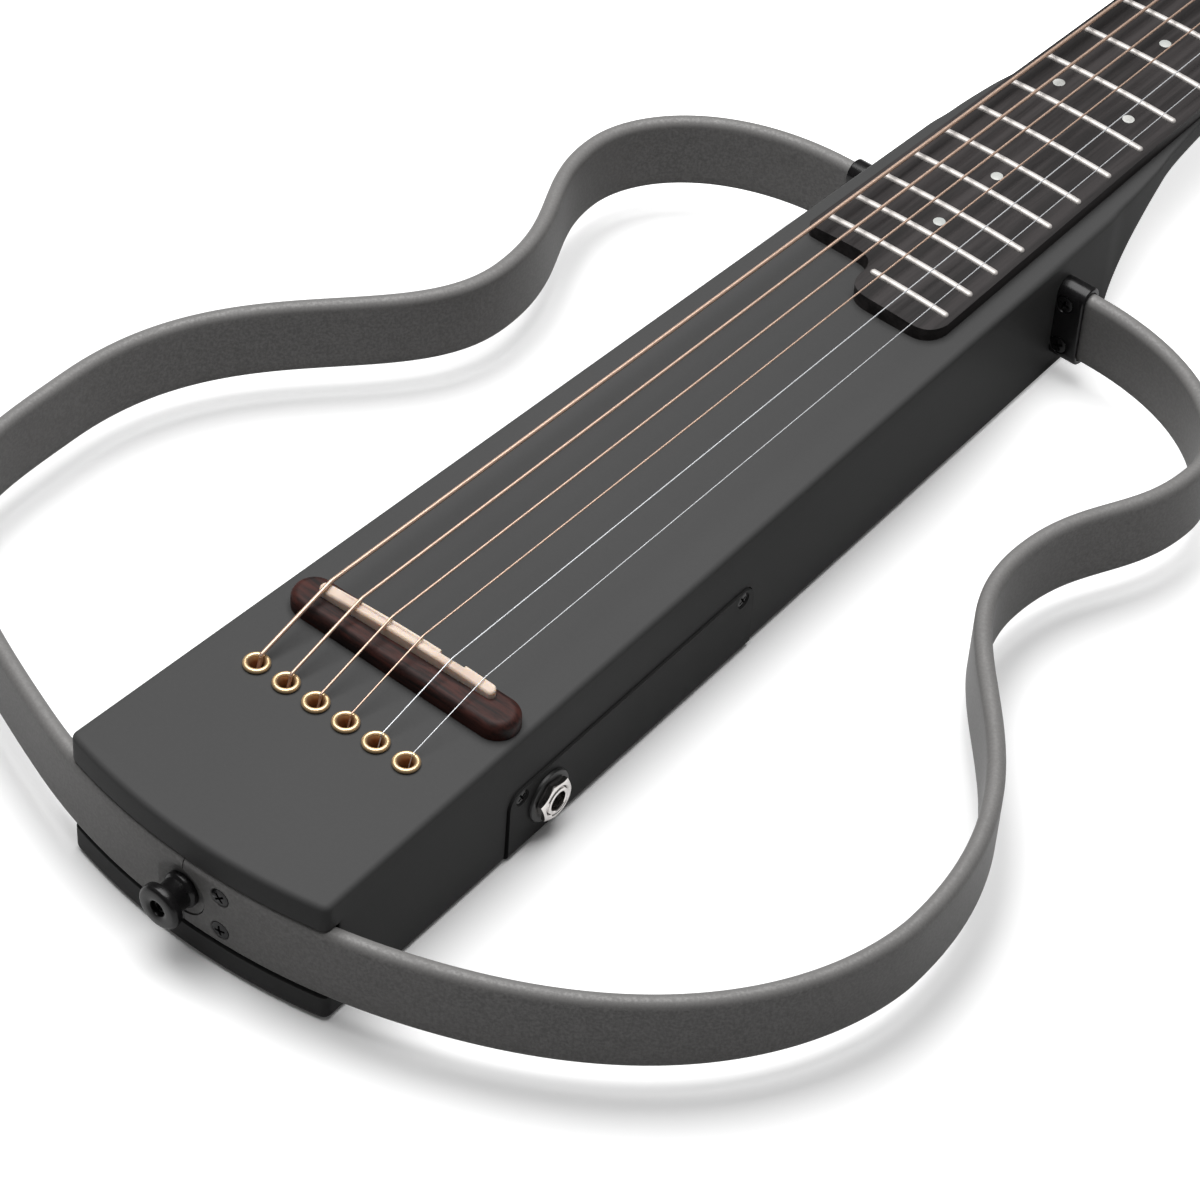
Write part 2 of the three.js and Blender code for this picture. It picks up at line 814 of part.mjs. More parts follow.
// The bar's top is crowned like the fingerboard and falls away towards the tail
function saddlePiece() {
  const bar = saddleBar(0, saddleTop + overrun);
  const lift = pickupThickness + gap;
  const base = block(-bridgeLength, bridgeLength, -bridgeLength, bridgeLength,
    saddleFloor - overrun, saddleFloor + lift);
  const front = saddleThickness / 2;
  const crown = rod("y", boardRadius, -bridgeLength, bridgeLength, 720)
    .translate(0, 0, -boardRadius)
    .rotateX(saddleBackSlope)
    .translate(0, front, saddleTop);
  const notchHalf = saddlePitch / 2.5;
  const notch = block(-notchHalf, notchHalf, front - notchDepth, front + overrun,
    bodyDepth + bridgeHeight + notchDepth, saddleTop + overrun)
    .translate(breakPoint(stringNames.indexOf("b")).x - saddleOffsetX, 0, 0);
  return cut(common(bar, onSaddleLine(crown)), base, onSaddleLine(notch));
}

function pickupStrip() {
  const half = saddleLength / 2 - saddleThickness;
  const thick = saddleThickness / 2 - gap;
  return onSaddleLine(block(-half, half, -thick, thick, saddleFloor,
    saddleFloor + pickupThickness));
}

function ferrule() {
  const step = ferruleFlange / 2;
  return turned([
    [ferruleBore, -ferruleLength],
    [ferruleSleeve, -ferruleLength],
    [ferruleSleeve, gap / 2],
    [ferruleRadius - step / 2, gap / 2],
    [ferruleRadius, step],
    [ferruleRadius - step, ferruleFlange],
    [ferruleMouth, ferruleFlange],
    [ferruleThroat, -ferruleFlange],
    [ferruleBore, -ferruleFlange * 2],
    [ferruleBore, -ferruleLength],
  ], 12);
}

// Points of a string from its ball, up through the ferrule and over saddle and nut
function plainRoute(string) {
  const radius = stringDiameters[string] / 2;
  const x = acrossBy(string, ferrulePitch);
  const lean = (ferruleBore - radius) / 2;
  const out = ferruleMouth - radius - gap;
  const rim = bodyDepth + ferruleFlange;
  return [
    new THREE.Vector3(x, -ferruleY, ballPocketDepth - ballLength / 2),
    new THREE.Vector3(x, -ferruleY, bodyDepth - ferruleLength),
    new THREE.Vector3(x, -ferruleY + lean, bodyDepth - ferruleFlange * 2),
    new THREE.Vector3(x, -ferruleY + out, rim - ferruleFlange / 3),
    new THREE.Vector3(x, -ferruleY + out, rim + radius + gap),
    breakPoint(string),
    new THREE.Vector3(acrossBy(string, nutPitch), nutHeadY - gap, nutTop),
  ];
}

// Points of the turns that a string takes down its post
function windingPoints(string) {
  const radius = stringDiameters[string] / 2;
  const { side, along, x } = tunerPlace(string);
  const wrap = postWaist + gap + radius;
  const pitch = stringDiameters[string] + windGap;
  return Array.from({ length: windTurns * windSteps + 1 }, (unused, i) => {
    const turn = (i / windSteps) * 2 * Math.PI;
    return onHead(x - side * wrap * Math.cos(turn), along + wrap * Math.sin(turn),
      windHeight - (pitch * i) / windSteps);
  });
}

// Least room between one turn of a winding and the next
function windingRoom(string) {
  const points = windingPoints(string);
  let least = Infinity;
  points.forEach((point, i) => {
    for (let k = i + windSteps / 2; k < points.length; k += 1) {
      least = Math.min(least, point.distanceTo(points[k]));
    }
  });
  return least - stringDiameters[string];
}

function stringPiece(string) {
  const radius = stringDiameters[string] / 2;
  const ballTop = ballPocketDepth - gap;
  const ball = rod("z", ballRadius, ballTop - ballLength, ballTop, holeSides)
    .translate(acrossBy(string, ferrulePitch), -ferruleY, 0);
  return join(wire([...plainRoute(string), ...windingPoints(string)], radius), ball);
}

// Centreline of a frame in plan, from the shoulder socket to the tail:
// cubic curves between knots at the bouts and the waist, then the tail's arc.
// The handles are shares of each stretch. The bass frame's bout and waist sit a
// little nearer the tail.
const handleShares = {
  treble: {
    shoulder: 0.65, upperIn: 0.43, upperOut: 0.43, waistIn: 0.475,
    waistOut: 0.365, lowerIn: 0.585, lowerOut: 0.13, tail: 0.985,
  },
  bass: {
    shoulder: 0.63, upperIn: 0.475, upperOut: 0.39, waistIn: 0.48,
    waistOut: 0.335, lowerIn: 0.545, lowerOut: 0.5, tail: 1.075,
  },
};

function frameCurve(side) {
  const bend = Math.asin(tailArcHalf / tubeTailRadius);
  const start = bodyHalf(shoulderFrameY) - frameInsertion;
  const bendX = bodyHalf(shoulderFrameY) + socketReach + gap * 4;
  const arcY = tailCentreY - tubeTailRadius * Math.cos(bend);
  const bass = side < 0;
  const upperX = upperBoutHalf + (bass ? bassUpperMore : 0);
  const upperAt = upperBoutY - (bass ? bassLag : 0);
  const waistAt = waistY - (bass ? bassLag : 0);
  const lowerX = lowerBoutHalf - (bass ? bassLowerLess : 0);
  const knots = {
    start: [start, shoulderFrameY],
    shoulder: [bendX, shoulderFrameY],
    upper: [upperX, upperAt],
    waist: [waistHalf, waistAt],
    lower: [lowerX, lowerBoutY],
    arc: [tailArcHalf, arcY],
  };
  const s = bass ? handleShares.bass : handleShares.treble;
  const upperDrop = shoulderFrameY - upperAt;
  const upperFall = upperAt - waistAt;
  const lowerFall = waistAt - lowerBoutY;
  const tailFall = lowerBoutY - arcY;
  const tailRun = lowerX - tailArcHalf;
  const curve = (a, b, c, d) => new THREE.CubicBezierCurve(
    new THREE.Vector2(...a), new THREE.Vector2(...b),
    new THREE.Vector2(...c), new THREE.Vector2(...d));
  const path = new THREE.CurvePath();
  path.add(new THREE.LineCurve(
    new THREE.Vector2(...knots.start), new THREE.Vector2(...knots.shoulder)));
  path.add(curve(knots.shoulder,
    [bendX + s.shoulder * (upperX - bendX), shoulderFrameY],
    [upperX, upperAt + s.upperIn * upperDrop], knots.upper));
  path.add(curve(knots.upper, [upperX, upperAt - s.upperOut * upperFall],
    [waistHalf, waistAt + s.waistIn * upperFall], knots.waist));
  path.add(curve(knots.waist, [waistHalf, waistAt - s.waistOut * lowerFall],
    [lowerX, lowerBoutY + s.lowerIn * lowerFall], knots.lower));
  path.add(curve(knots.lower, [lowerX, lowerBoutY - s.lowerOut * tailFall],
    [tailArcHalf + s.tail * tailRun * Math.cos(bend), arcY + s.tail * tailRun * Math.sin(bend)],
    knots.arc));
  return { path, bend };
}

// Stops along the centreline, each with its place and its outward direction
const stretchSteps = [1, 14, 12, 15, 16];

function frameStops(side) {
  const { path, bend } = frameCurve(side);
  const stops = [];
  path.curves.forEach((curve, k) => {
    for (let i = k === 0 ? 0 : 1; i <= stretchSteps[k]; i += 1) {
      const at = curve.getPoint(i / stretchSteps[k]);
      const tangent = curve.getTangent(i / stretchSteps[k]);
      stops.push({ x: at.x, y: at.y, nx: -tangent.y, ny: tangent.x });
    }
  });
  const arcSteps = 8;
  const endTurn = -dipRadius / tubeTailRadius;
  for (let i = 1; i <= arcSteps; i += 1) {
    const turn = mix(bend, endTurn, i / arcSteps);
    stops.push({
      x: tubeTailRadius * Math.sin(turn),
      y: tailCentreY - tubeTailRadius * Math.cos(turn),
      nx: Math.sin(turn),
      ny: -Math.cos(turn),
    });
  }
  return stops.map((stop) => ({ ...stop, x: side * stop.x, nx: side * stop.nx }));
}

// The flat oval section, as offsets across the tube and up
function ovalSection(height, thickness) {
  const radius = thickness / 2;
  const reach = height / 2 - radius;
  const points = [];
  for (let i = 0; i <= tubeEndSegments; i += 1) {
    const turn = (Math.PI * i) / tubeEndSegments;
    points.push([radius * Math.cos(turn), reach + radius * Math.sin(turn)]);
  }
  return [...points, ...points.map(([across, up]) => [-across, -up])];
}

function frameTube(side) {
  const section = ovalSection(tubeHeight, tubeThickness);
  return loft(frameStops(side).map((stop) => section.map(([across, up]) => new THREE.Vector3(
    stop.x + stop.nx * across, stop.y + stop.ny * across, midDepth + up))));
}

// Cylinders about the clamp axis, from a depth inside the frames' outer face
function clampBore(radius, from, to) {
  return outOfTail(rod("z", radius, -to, -from, 24), buttonAxis.x, buttonAxis.z);
}

function beyondSplit(side) {
  const reach = lowerBoutHalf * 2;
  const x0 = side > 0 ? splitX : splitX - gap - reach;
  return block(x0, x0 + reach, -tailY - tailRadius, scaleLength, 0, bodyDepth);
}

function trebleFrame() {
  const tube = common(frameTube(1), beyondSplit(1));
  const seat = clampBore(tongueRadius + gap, -overrun, tongueThickness + gap);
  const shankWay = clampBore(insertRadius + gap, -overrun, tubeThickness + overrun);
  const screws = [-1, 1].map((end) => outOfTail(
    countersunk(screwHead, screwShank, screwLength, gap), tailScrewX,
    midDepth + (end * tailScrewPitch) / 2));
  return cut(tube, seat, shankWay, ...screws, ...socketScrewHoles(1));
}

function socketScrewHoles(side) {
  return [-1, 1].map((end) => atSocketScrew(
    rod("z", screwShank + gap, -socketScrewLength - gap, 0, holeSides), side, end));
}

// The bass frame ends in a round tongue, thinned and dished under the button
function bassFrame() {
  const tube = common(frameTube(-1), beyondSplit(-1));
  const tongue = common(clampBore(tongueRadius, 0, tongueThickness),
    frameSleeve());
  const flare = dipRadius - dipFloorRadius;
  const dish = outOfTail(turned([
    [0, -dipDepth],
    [dipFloorRadius, -dipDepth],
    [dipRadius, 0],
    [dipRadius + flare, dipDepth],
    [0, dipDepth],
  ], 24), buttonAxis.x, buttonAxis.z);
  const bore = clampBore(clampRadius + gap, -overrun, tubeThickness + overrun);
  return cut(join(tube, tongue), dish, bore, ...socketScrewHoles(-1));
}

// A stretch of ring with the frames' thickness, that trims the tongue to their faces
function frameSleeve() {
  const shape = new THREE.Shape();
  const sweep = (tongueRadius * 3) / tubeTailRadius;
  const inner = tubeTailRadius - tubeThickness / 2;
  const outer = tubeTailRadius + tubeThickness / 2;
  shape.absarc(0, tailCentreY, inner, -Math.PI / 2 - sweep, -Math.PI / 2 + sweep, false);
  shape.absarc(0, tailCentreY, outer, -Math.PI / 2 + sweep, -Math.PI / 2 - sweep, true);
  return plate(shape, 0, bodyDepth, 12);
}

// Shoulder sockets: flat oval sleeves let into the body's sides
function ovalPrism(height, thickness, start, end) {
  const ring = ovalSection(height, thickness);
  return loft([start, end].map((x) => ring.map(([across, up]) => new THREE.Vector3(
    x, shoulderFrameY - across, midDepth + up))));
}

function mirrored(geometry, side) {
  if (side > 0) {
    return geometry;
  }
  const flipped = geometry.clone().scale(-1, 1, 1);
  return facingOut(flipped);
}

const socketInner = bodyHalf(shoulderFrameY) - socketDepth;
const socketOuter = bodyHalf(shoulderFrameY) + socketReach;

function socketMortise(side) {
  const margin = 2 * (socketWall + gap) + 2 * gap;
  return mirrored(ovalPrism(tubeHeight + margin, tubeThickness + margin,
    socketInner - gap, socketOuter), side);
}

function shoulderSocket(side) {
  const outer = ovalPrism(tubeHeight + 2 * (socketWall + gap),
    tubeThickness + 2 * (socketWall + gap), socketInner, socketOuter);
  const bore = ovalPrism(tubeHeight + 2 * gap, tubeThickness + 2 * gap,
    bodyHalf(shoulderFrameY) - frameInsertion - gap, socketOuter + overrun);
  const holes = [-1, 1].map((end) => atSocketScrew(
    countersunk(screwHead, screwShank, socketScrewLength, gap), 1, end));
  return mirrored(cut(outer, bore, ...holes), side);
}

// The two screws that hold a tube in its socket, from the tail side
function atSocketScrew(geometry, side, end) {
  const x = bodyHalf(shoulderFrameY) + socketReach / 3;
  const face = shoulderFrameY - tubeThickness / 2 - gap - socketWall;
  return geometry.rotateX(Math.PI / 2)
    .translate(side * x, face, midDepth + (end * socketScrewPitch) / 2);
}

function strapButton() {
  const head = buttonStandoff;
  const seat = dipDepth - gap;
  const edge = buttonHeadLength / 4;
  const under = head - buttonHeadLength;
  const piece = turned([
    [clampRadius + gap, -seat],
    [buttonBaseRadius, -seat],
    [buttonBaseRadius, edge],
    [buttonNeckRadius, edge * 2],
    [buttonNeckRadius, under - edge],
    [buttonHeadRadius, under],
    [buttonHeadRadius, under + edge * 2],
    [buttonHeadRadius - edge, head - edge / 2],
    [buttonSocket + edge * 2, head],
    [buttonSocket + gap, head],
    [buttonSocket + gap, head - clampHeadLength * 1.5],
    [clampRadius + gap, head - clampHeadLength * 1.5],
    [clampRadius + gap, -seat],
  ], 20);
  return outOfTail(piece, buttonAxis.x, buttonAxis.z);
}

function clampScrew() {
  const headTop = buttonStandoff - clampHeadLength / 2;
  const headFoot = buttonStandoff - clampHeadLength * 1.5 + gap;
  const tip = -tubeThickness - clampTravel + gap;
  const hexDepth = clampHeadLength / 1.5;
  const piece = turned([
    [0, tip],
    [clampRadius, tip],
    [clampRadius, headFoot],
    [buttonSocket, headFoot],
    [buttonSocket, headTop],
    [0, headTop],
  ]);
  const hex = rod("z", buttonSocket / 1.5, headTop - hexDepth, headTop + overrun, 6);
  return outOfTail(cut(piece, hex), buttonAxis.x, buttonAxis.z);
}

function clampInsert() {
  const piece = turned([
    [clampRadius + gap, -tubeThickness - clampTravel],
    [insertRadius, -tubeThickness - clampTravel],
    [insertRadius, -tubeThickness - gap * 2],
    [clampRadius + gap, -tubeThickness - gap * 2],
    [clampRadius + gap, -tubeThickness - clampTravel],
  ]);
  return outOfTail(piece, buttonAxis.x, buttonAxis.z);
}

// Output jack, on the side part of the cover
function onJack(geometry) {
  return geometry.rotateY(Math.PI / 2).translate(0, jackY, jackZ).applyMatrix4(sideMatrix);
}

function jackSocket() {
  const top = washerThickness + jackNutThickness + gap;
  const foot = -coverPlate - gap;
  const canFloor = foot - jackCanLength;
  return onJack(turned([
    [0, canFloor],
    [jackCan, canFloor],
    [jackCan, foot],
    [jackBarrel, foot],
    [jackBarrel, top],
    [jackBore, top],
    [jackBore, top - jackBarrelLength + jackBore],
    [0, top - jackBarrelLength + jackBore],
  ]));
}

function jackWasher() {
  const low = gap / 2;
  return onJack(turned([
    [jackBarrel + gap, low],
    [washerRadius, low],
    [washerRadius, washerThickness / 2],
    [washerRadius - washerThickness / 2, washerThickness],
    [jackBarrel + gap, washerThickness],
    [jackBarrel + gap, low],
  ], 20));
}

function jackNutPiece() {
  const corner = jackNutFlats / Math.sqrt(3);
  const low = washerThickness + gap / 2;
  const high = washerThickness + jackNutThickness;
  const hex = rod("z", corner, low, high, 6);
  const bevel = turned([
    [0, low],
    [corner, low],
    [corner, high - jackNutThickness / 3],
    [jackNutFlats / 2, high],
    [0, high],
  ], 24);
  return onJack(cut(common(hex, bevel), rod("z", jackBarrel + gap, 0, high + overrun)));
}

function electronicsCover() {
  const hole = onJack(rod("z", jackBarrel + gap, -coverPlate - overrun, overrun));
  const screws = coverScrews.map((screw) => atCoverScrew(
    countersunk(coverScrewHead, coverScrewShank, coverScrewLength, gap), screw));
  return cut(common(coverBlank(0), coreLoft(coverProud)), hole, ...screws);
}

function cavityBlock(start, length, depth, width, low, height) {
  return block(-depth - width, -depth, start, start + length, low, low + height)
    .applyMatrix4(sideMatrix);
}

const cavityStart = coverStartY + cavityInset;
const boardStart = cavityStart + jackCan * 2 + jackY / 2;

function battery() {
  const start = coverEndY - cavityInset - batteryLength - gap;
  const behind = coverPlate + gap * 2 + cavityWall;
  return cavityBlock(start, batteryLength, behind, batteryWidth,
    coverPlate + gap, batteryHeight);
}

function preampBoard() {
  return cavityBlock(boardStart, preampLength, coverPlate + gap * 2, preampThickness,
    coverPlate + gap, preampHeight);
}

function trussRod() {
  const z = bodyDepth - rodSlotDepth + rodRadius + gap;
  return rod("y", rodRadius, rodStartY + gap, scaleLength - rodMargin - gap, 12)
    .translate(0, 0, z);
}

// Tuner pieces, in the headstock's own frame with the post at the origin
const housingTop = -headThickness - gap;
const shaftLevel = housingTop - shaftDrop;
const shaftOffset = -(postRadius + shaftRadius + gap * 3);

function tunerHousing(side) {
  const lean = side * (housingWidth / 2 - postRadius * 1.8);
  const box = new THREE.Shape();
  const corner = postRadius / 1.5;
  const x1 = lean + housingWidth / 2;
  const x0 = lean - housingWidth / 2;
  const y1 = housingLength / 2 + shaftOffset / 2;
  const y0 = -housingLength / 2 + shaftOffset / 2;
  box.absarc(x1 - corner, y1 - corner, corner, 0, Math.PI / 2, false);
  box.absarc(x0 + corner, y1 - corner, corner, Math.PI / 2, Math.PI, false);
  box.absarc(x0 + corner, y0 + corner, corner, Math.PI, Math.PI * 1.5, false);
  box.absarc(x1 - corner, y0 + corner, corner, Math.PI * 1.5, Math.PI * 2, false);
  const can = plate(box, housingTop - housingHeight, housingTop, 2);
  const bush = turned([
    [0, housingTop - gap],
    [bushingRadius, housingTop - gap],
    [bushingRadius, gap],
    [bushingFlange, gap],
    [bushingFlange, bushingFlangeHeight],
    [0, bushingFlangeHeight + gap],
  ], holeSides);
  const postWay = rod("z", postRadius + gap, housingTop - postSink - gap, overrun, holeSides);
  const shaftEnd = -postRadius - gap;
  const shaftWay = mirrored(
    rod("x", shaftRadius + gap, shaftEnd, housingWidth * 2, holeSides), side)
    .translate(0, shaftOffset, shaftLevel);
  return cut(join(can, bush), postWay, shaftWay);
}

function tunerPost() {
  const low = housingTop - postSink;
  const flare = postRadius - postWaist;
  return turned([
    [0, low],
    [postRadius, low],
    [postRadius, waistLow - flare],
    [postWaist, waistLow],
    [postWaist, waistHigh],
    [postRadius, waistHigh + flare],
    [postRadius, postHeight - flare],
    [postWaist, postHeight],
    [0, postHeight],
  ], holeSides);
}

// Knob: a flat kidney-shaped grip on a round shaft, out to the headstock's side
function tunerKnob(side, edge) {
  const start = -postRadius;
  const gripStart = edge + knobClearance;
  const shaft = rod("x", shaftRadius, start, gripStart + shaftRadius, holeSides);
  const collar = rod("x", collarRadius, gripStart - shaftRadius, gripStart + shaftRadius,
    holeSides);
  const grip = new THREE.Shape();
  const half = knobWidth / 2;
  const end = gripStart + knobLength;
  const shoulderShare = 0.35;
  const crownShare = 0.8;
  grip.moveTo(gripStart, -half * shoulderShare);
  grip.bezierCurveTo(gripStart, -half, mix(gripStart, end, shoulderShare), -half,
    mix(gripStart, end, crownShare), -half * crownShare);
  grip.quadraticCurveTo(end, -half * shoulderShare, end, 0);
  grip.quadraticCurveTo(end, half * shoulderShare, mix(gripStart, end, crownShare),
    half * crownShare);
  grip.bezierCurveTo(mix(gripStart, end, shoulderShare), half, gripStart, half,
    gripStart, half * shoulderShare);
  const edgeSoft = knobThickness / 4;
  const blade = new THREE.ExtrudeGeometry(grip, {
    depth: knobThickness - edgeSoft * 2,
    bevelThickness: edgeSoft,
    bevelSize: edgeSoft / 2,
    bevelSegments: 1,
    curveSegments: 3,
  }).translate(0, 0, -knobThickness / 2 + edgeSoft);
  const knob = join(shaft, collar, blade);
  return mirrored(knob, side).translate(0, shaftOffset, shaftLevel);
}

// The whole guitar
place(part, "body_and_neck", core(), satinBlack);
place(part, "fingerboard", fingerboard(), darkWood);
place(part, "nut", nutPiece(), bone);
place(part, "bridge", bridgePiece(), rosewood);
place(part, "saddle", saddlePiece(), bone);
place(part, "saddle_pickup", pickupStrip(), nickel);
place(part, "truss_rod", trussRod(), steelWire);

stringNames.forEach((name, string) => {
  const ring = place(part, `ferrule_${name}`, ferrule(), brass);
  ring.position.set(acrossBy(string, ferrulePitch), -ferruleY, bodyDepth);
  const material = string < 4 ? bronzeWire : steelWire;
  place(part, `string_${name}`, stringPiece(string), material);
});

place(part, "frame_treble", trebleFrame(), gunmetal);
place(part, "frame_bass", bassFrame(), gunmetal);
place(part, "socket_treble", shoulderSocket(1), blackMetal);
place(part, "socket_bass", shoulderSocket(-1), blackMetal);
for (const [level, end] of [["lower", -1], ["upper", 1]]) {
  const z = midDepth + (end * tailScrewPitch) / 2;
  place(part, `tail_screw_${level}`,
    outOfTail(countersunk(screwHead, screwShank, screwLength), tailScrewX, z), blackMetal);
  for (const [name, side] of [["treble", 1], ["bass", -1]]) {
    place(part, `socket_screw_${name}_${level}`, atSocketScrew(
      countersunk(screwHead, screwShank, socketScrewLength), side, end), blackMetal);
  }
}
console.log(`Least room in a winding: ${Math.min(
  ...stringNames.map((name, string) => windingRoom(string))).toFixed(3)} mm`);

place(part, "strap_button", strapButton(), blackMetal);
place(part, "clamp_screw", clampScrew(), blackMetal);
place(part, "clamp_insert", clampInsert(), brass);

place(part, "electronics_cover", electronicsCover(), satinBlack);
for (const screw of coverScrews) {
  place(part, `cover_screw_${screw.name}`, atCoverScrew(
    countersunk(coverScrewHead, coverScrewShank, coverScrewLength), screw), blackMetal);
}
place(part, "jack_socket", jackSocket(), blackMetal);
place(part, "jack_washer", jackWasher(), blackMetal);
place(part, "jack_nut", jackNutPiece(), nickel);
place(part, "battery", battery(), blackMetal);
place(part, "preamp_board", preampBoard(), circuit);

const head = new THREE.Group();
head.applyMatrix4(headMatrix);
part.add(head);
stringNames.forEach((name, string) => {
  const { side, along, x } = tunerPlace(string);
  const tuner = new THREE.Group();
  tuner.position.set(x, along, 0);
  head.add(tuner);
  place(tuner, `tuner_housing_${name}`, tunerHousing(side), blackMetal);
  place(tuner, `tuner_post_${name}`, tunerPost(), blackMetal);
  place(tuner, `tuner_knob_${name}`, tunerKnob(side, tunerInset), blackMetal);
});

export default part;
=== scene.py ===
# %% [markdown]
# A skeleton frame guitar: a slim slab of a body that runs on into the neck, with two
# bent tubes that draw the outline of a full-size guitar beside it. The solid model comes
# in as a fixed frame of hidden or shown nodes. This file gives each node its surface:
# most pieces are made again here as fine surfaces on the same sizes, and then finished.

# %% Load the frame
import math

import bmesh
import bpy
import numpy as np
from mathutils import Matrix, Vector


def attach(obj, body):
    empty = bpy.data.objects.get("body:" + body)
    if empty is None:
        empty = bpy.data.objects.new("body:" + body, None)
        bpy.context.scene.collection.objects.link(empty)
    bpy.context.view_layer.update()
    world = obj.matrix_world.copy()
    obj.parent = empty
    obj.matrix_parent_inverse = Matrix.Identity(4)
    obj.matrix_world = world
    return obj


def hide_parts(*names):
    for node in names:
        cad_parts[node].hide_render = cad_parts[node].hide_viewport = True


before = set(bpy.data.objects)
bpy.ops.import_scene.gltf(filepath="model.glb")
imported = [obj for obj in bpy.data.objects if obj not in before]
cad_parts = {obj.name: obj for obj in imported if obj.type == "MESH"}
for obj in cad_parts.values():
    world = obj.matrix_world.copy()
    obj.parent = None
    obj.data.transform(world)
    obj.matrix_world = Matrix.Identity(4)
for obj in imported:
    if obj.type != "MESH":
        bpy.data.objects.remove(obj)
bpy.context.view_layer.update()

print("nodes:", len(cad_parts))

# %% [markdown]
# The camera stands at the tail, to the treble side, and looks down at 45 degrees through a
# long lens. Its place was worked out from the frets, the ferrules and the frame's outline.

# %% Camera
PIXELS = 1200
SENSOR_MM = 36.0
FOCAL_PIXELS = 4408.68
CENTRE_PIXEL = (557.5, 595.7)
EYE = np.array([0.568428, -0.665149, 0.940402])
LOOK = np.array([-0.43518, 0.56054, -0.70457])
UP = np.array([-0.47980, 0.51780, 0.70829])

lens_data = bpy.data.cameras.new("camera")
lens_data.sensor_width = SENSOR_MM
lens_data.lens = SENSOR_MM * FOCAL_PIXELS / PIXELS
lens_data.shift_x = (PIXELS / 2 - CENTRE_PIXEL[0]) / PIXELS
lens_data.shift_y = (CENTRE_PIXEL[1] - PIXELS / 2) / PIXELS
lens_data.clip_start = 0.05
lens_data.clip_end = 20.0
camera = bpy.data.objects.new("camera", lens_data)
bpy.context.collection.objects.link(camera)
right = np.cross(LOOK, UP)
turn = Matrix((right, UP, -LOOK)).transposed()
camera.matrix_world = Matrix.Translation(EYE) @ turn.to_4x4()
bpy.context.scene.camera = camera
bpy.context.scene.view_settings.view_transform = "Standard"
print("lens:", round(lens_data.lens, 1), "mm")

# %% [markdown]
# Shader sums read best as plain arithmetic. `Value` wraps a socket, and each sign adds the
# Math node that it stands for. `Sheet` is one material's node sheet, with one method that
# adds any other node: its settings come first, then the values or links of its sockets.

# %% Values and node sheets
class Value:
    """A socket that takes part in sums: a * b + c adds two Math nodes."""

    def __init__(self, sheet, socket):
        self.sheet = sheet
        self.socket = socket

    def __add__(self, other):
        return self.sheet.math("ADD", self, other)

    def __rsub__(self, other):
        return self.sheet.math("SUBTRACT", other, self)

    def __mul__(self, other):
        return self.sheet.math("MULTIPLY", self, other)

    __radd__ = __add__


class Sheet:
    """The nodes of one material, which ends in a Principled shader."""

    def __init__(self, name):
        self.material = bpy.data.materials.new(name)
        self.material.use_nodes = True
        self.tree = self.material.node_tree
        self.shader = self.tree.nodes["Principled BSDF"]
        where = self.add("ShaderNodeTexCoord")
        self.place = where.outputs["Object"]

    def add(self, kind, settings=None, **sockets):
        """Adds a node: settings are its own fields, sockets its inputs by name. _2 stands
        for the input of that number."""
        node = self.tree.nodes.new(kind)
        for field, value in (settings or {}).items():
            setattr(node, field, value)
        for name, value in sockets.items():
            key = int(name[1:]) if name[0] == "_" else name.replace("_", " ")
            self.feed(node.inputs[key], value)
        return node

    def feed(self, target, value):
        """Sets a socket to a number or colour, or links it to another socket."""
        source = value.socket if isinstance(value, Value) else value
        if isinstance(source, bpy.types.NodeSocket):
            self.tree.links.new(source, target)
        else:
            target.default_value = source

    def math(self, operation, a, b=0.0):
        """One Math node on one or two values."""
        node = self.add("ShaderNodeMath", {"operation": operation}, _0=a, _1=b)
        return Value(self, node.outputs[0])

    def axis(self, letter):
        """One coordinate of the place on the object, in metres."""
        split = self.add("ShaderNodeSeparateXYZ", Vector=self.place)
        return Value(self, split.outputs[letter])

    def stretched(self, x, y, z):
        """The place on the object with each axis scaled, for grain that runs one way."""
        mapping = self.add("ShaderNodeMapping", Vector=self.place, Scale=(x, y, z))
        return mapping.outputs[0]

    def noise(self, scale, detail=3.0, rough=0.5, place=None):
        """Cloudy noise between 0 and 1, with about that many clouds to a metre."""
        node = self.add("ShaderNodeTexNoise", Vector=place or self.place, Scale=scale,
                        Detail=detail, Roughness=rough)
        return Value(self, node.outputs["Fac"])

    def step(self, value, low, high):
        """0 below low, 1 above high and a smooth rise between."""
        node = self.add("ShaderNodeMapRange", {"interpolation_type": "SMOOTHSTEP"},
                        Value=value, From_Min=low, From_Max=high)
        return Value(self, node.outputs["Result"])

    def blend(self, share, first, second):
        """A colour between two others."""
        node = self.add("ShaderNodeMix", {"data_type": "RGBA"}, _0=share, _6=first, _7=second)
        return node.outputs[2]

    def relief(self, height, depth, strength=1.0):
        """Bumps of the given depth in metres, fed to the shader's normal."""
        bump = self.add("ShaderNodeBump", Height=height, Distance=depth, Strength=strength)
        self.feed(self.shader.inputs["Normal"], bump.outputs[0])

    def wear(self, **sockets):
        """Feeds the shader's own sockets."""
        for name, value in sockets.items():
            self.feed(self.shader.inputs[name.replace("_", " ")], value)


def tint(level, warm=0.0):
    """A grey of that level. Warm adds that share to red and takes it from blue."""
    return (level * (1 + warm), level, level * (1 - warm), 1.0)


print("helpers for shader sums are ready")

# %% [markdown]
# The body is lacquered in a satin near-black. Such a coat is never quite even: a faint
# orange-peel relief breaks its highlights and a slow change of gloss follows handling.

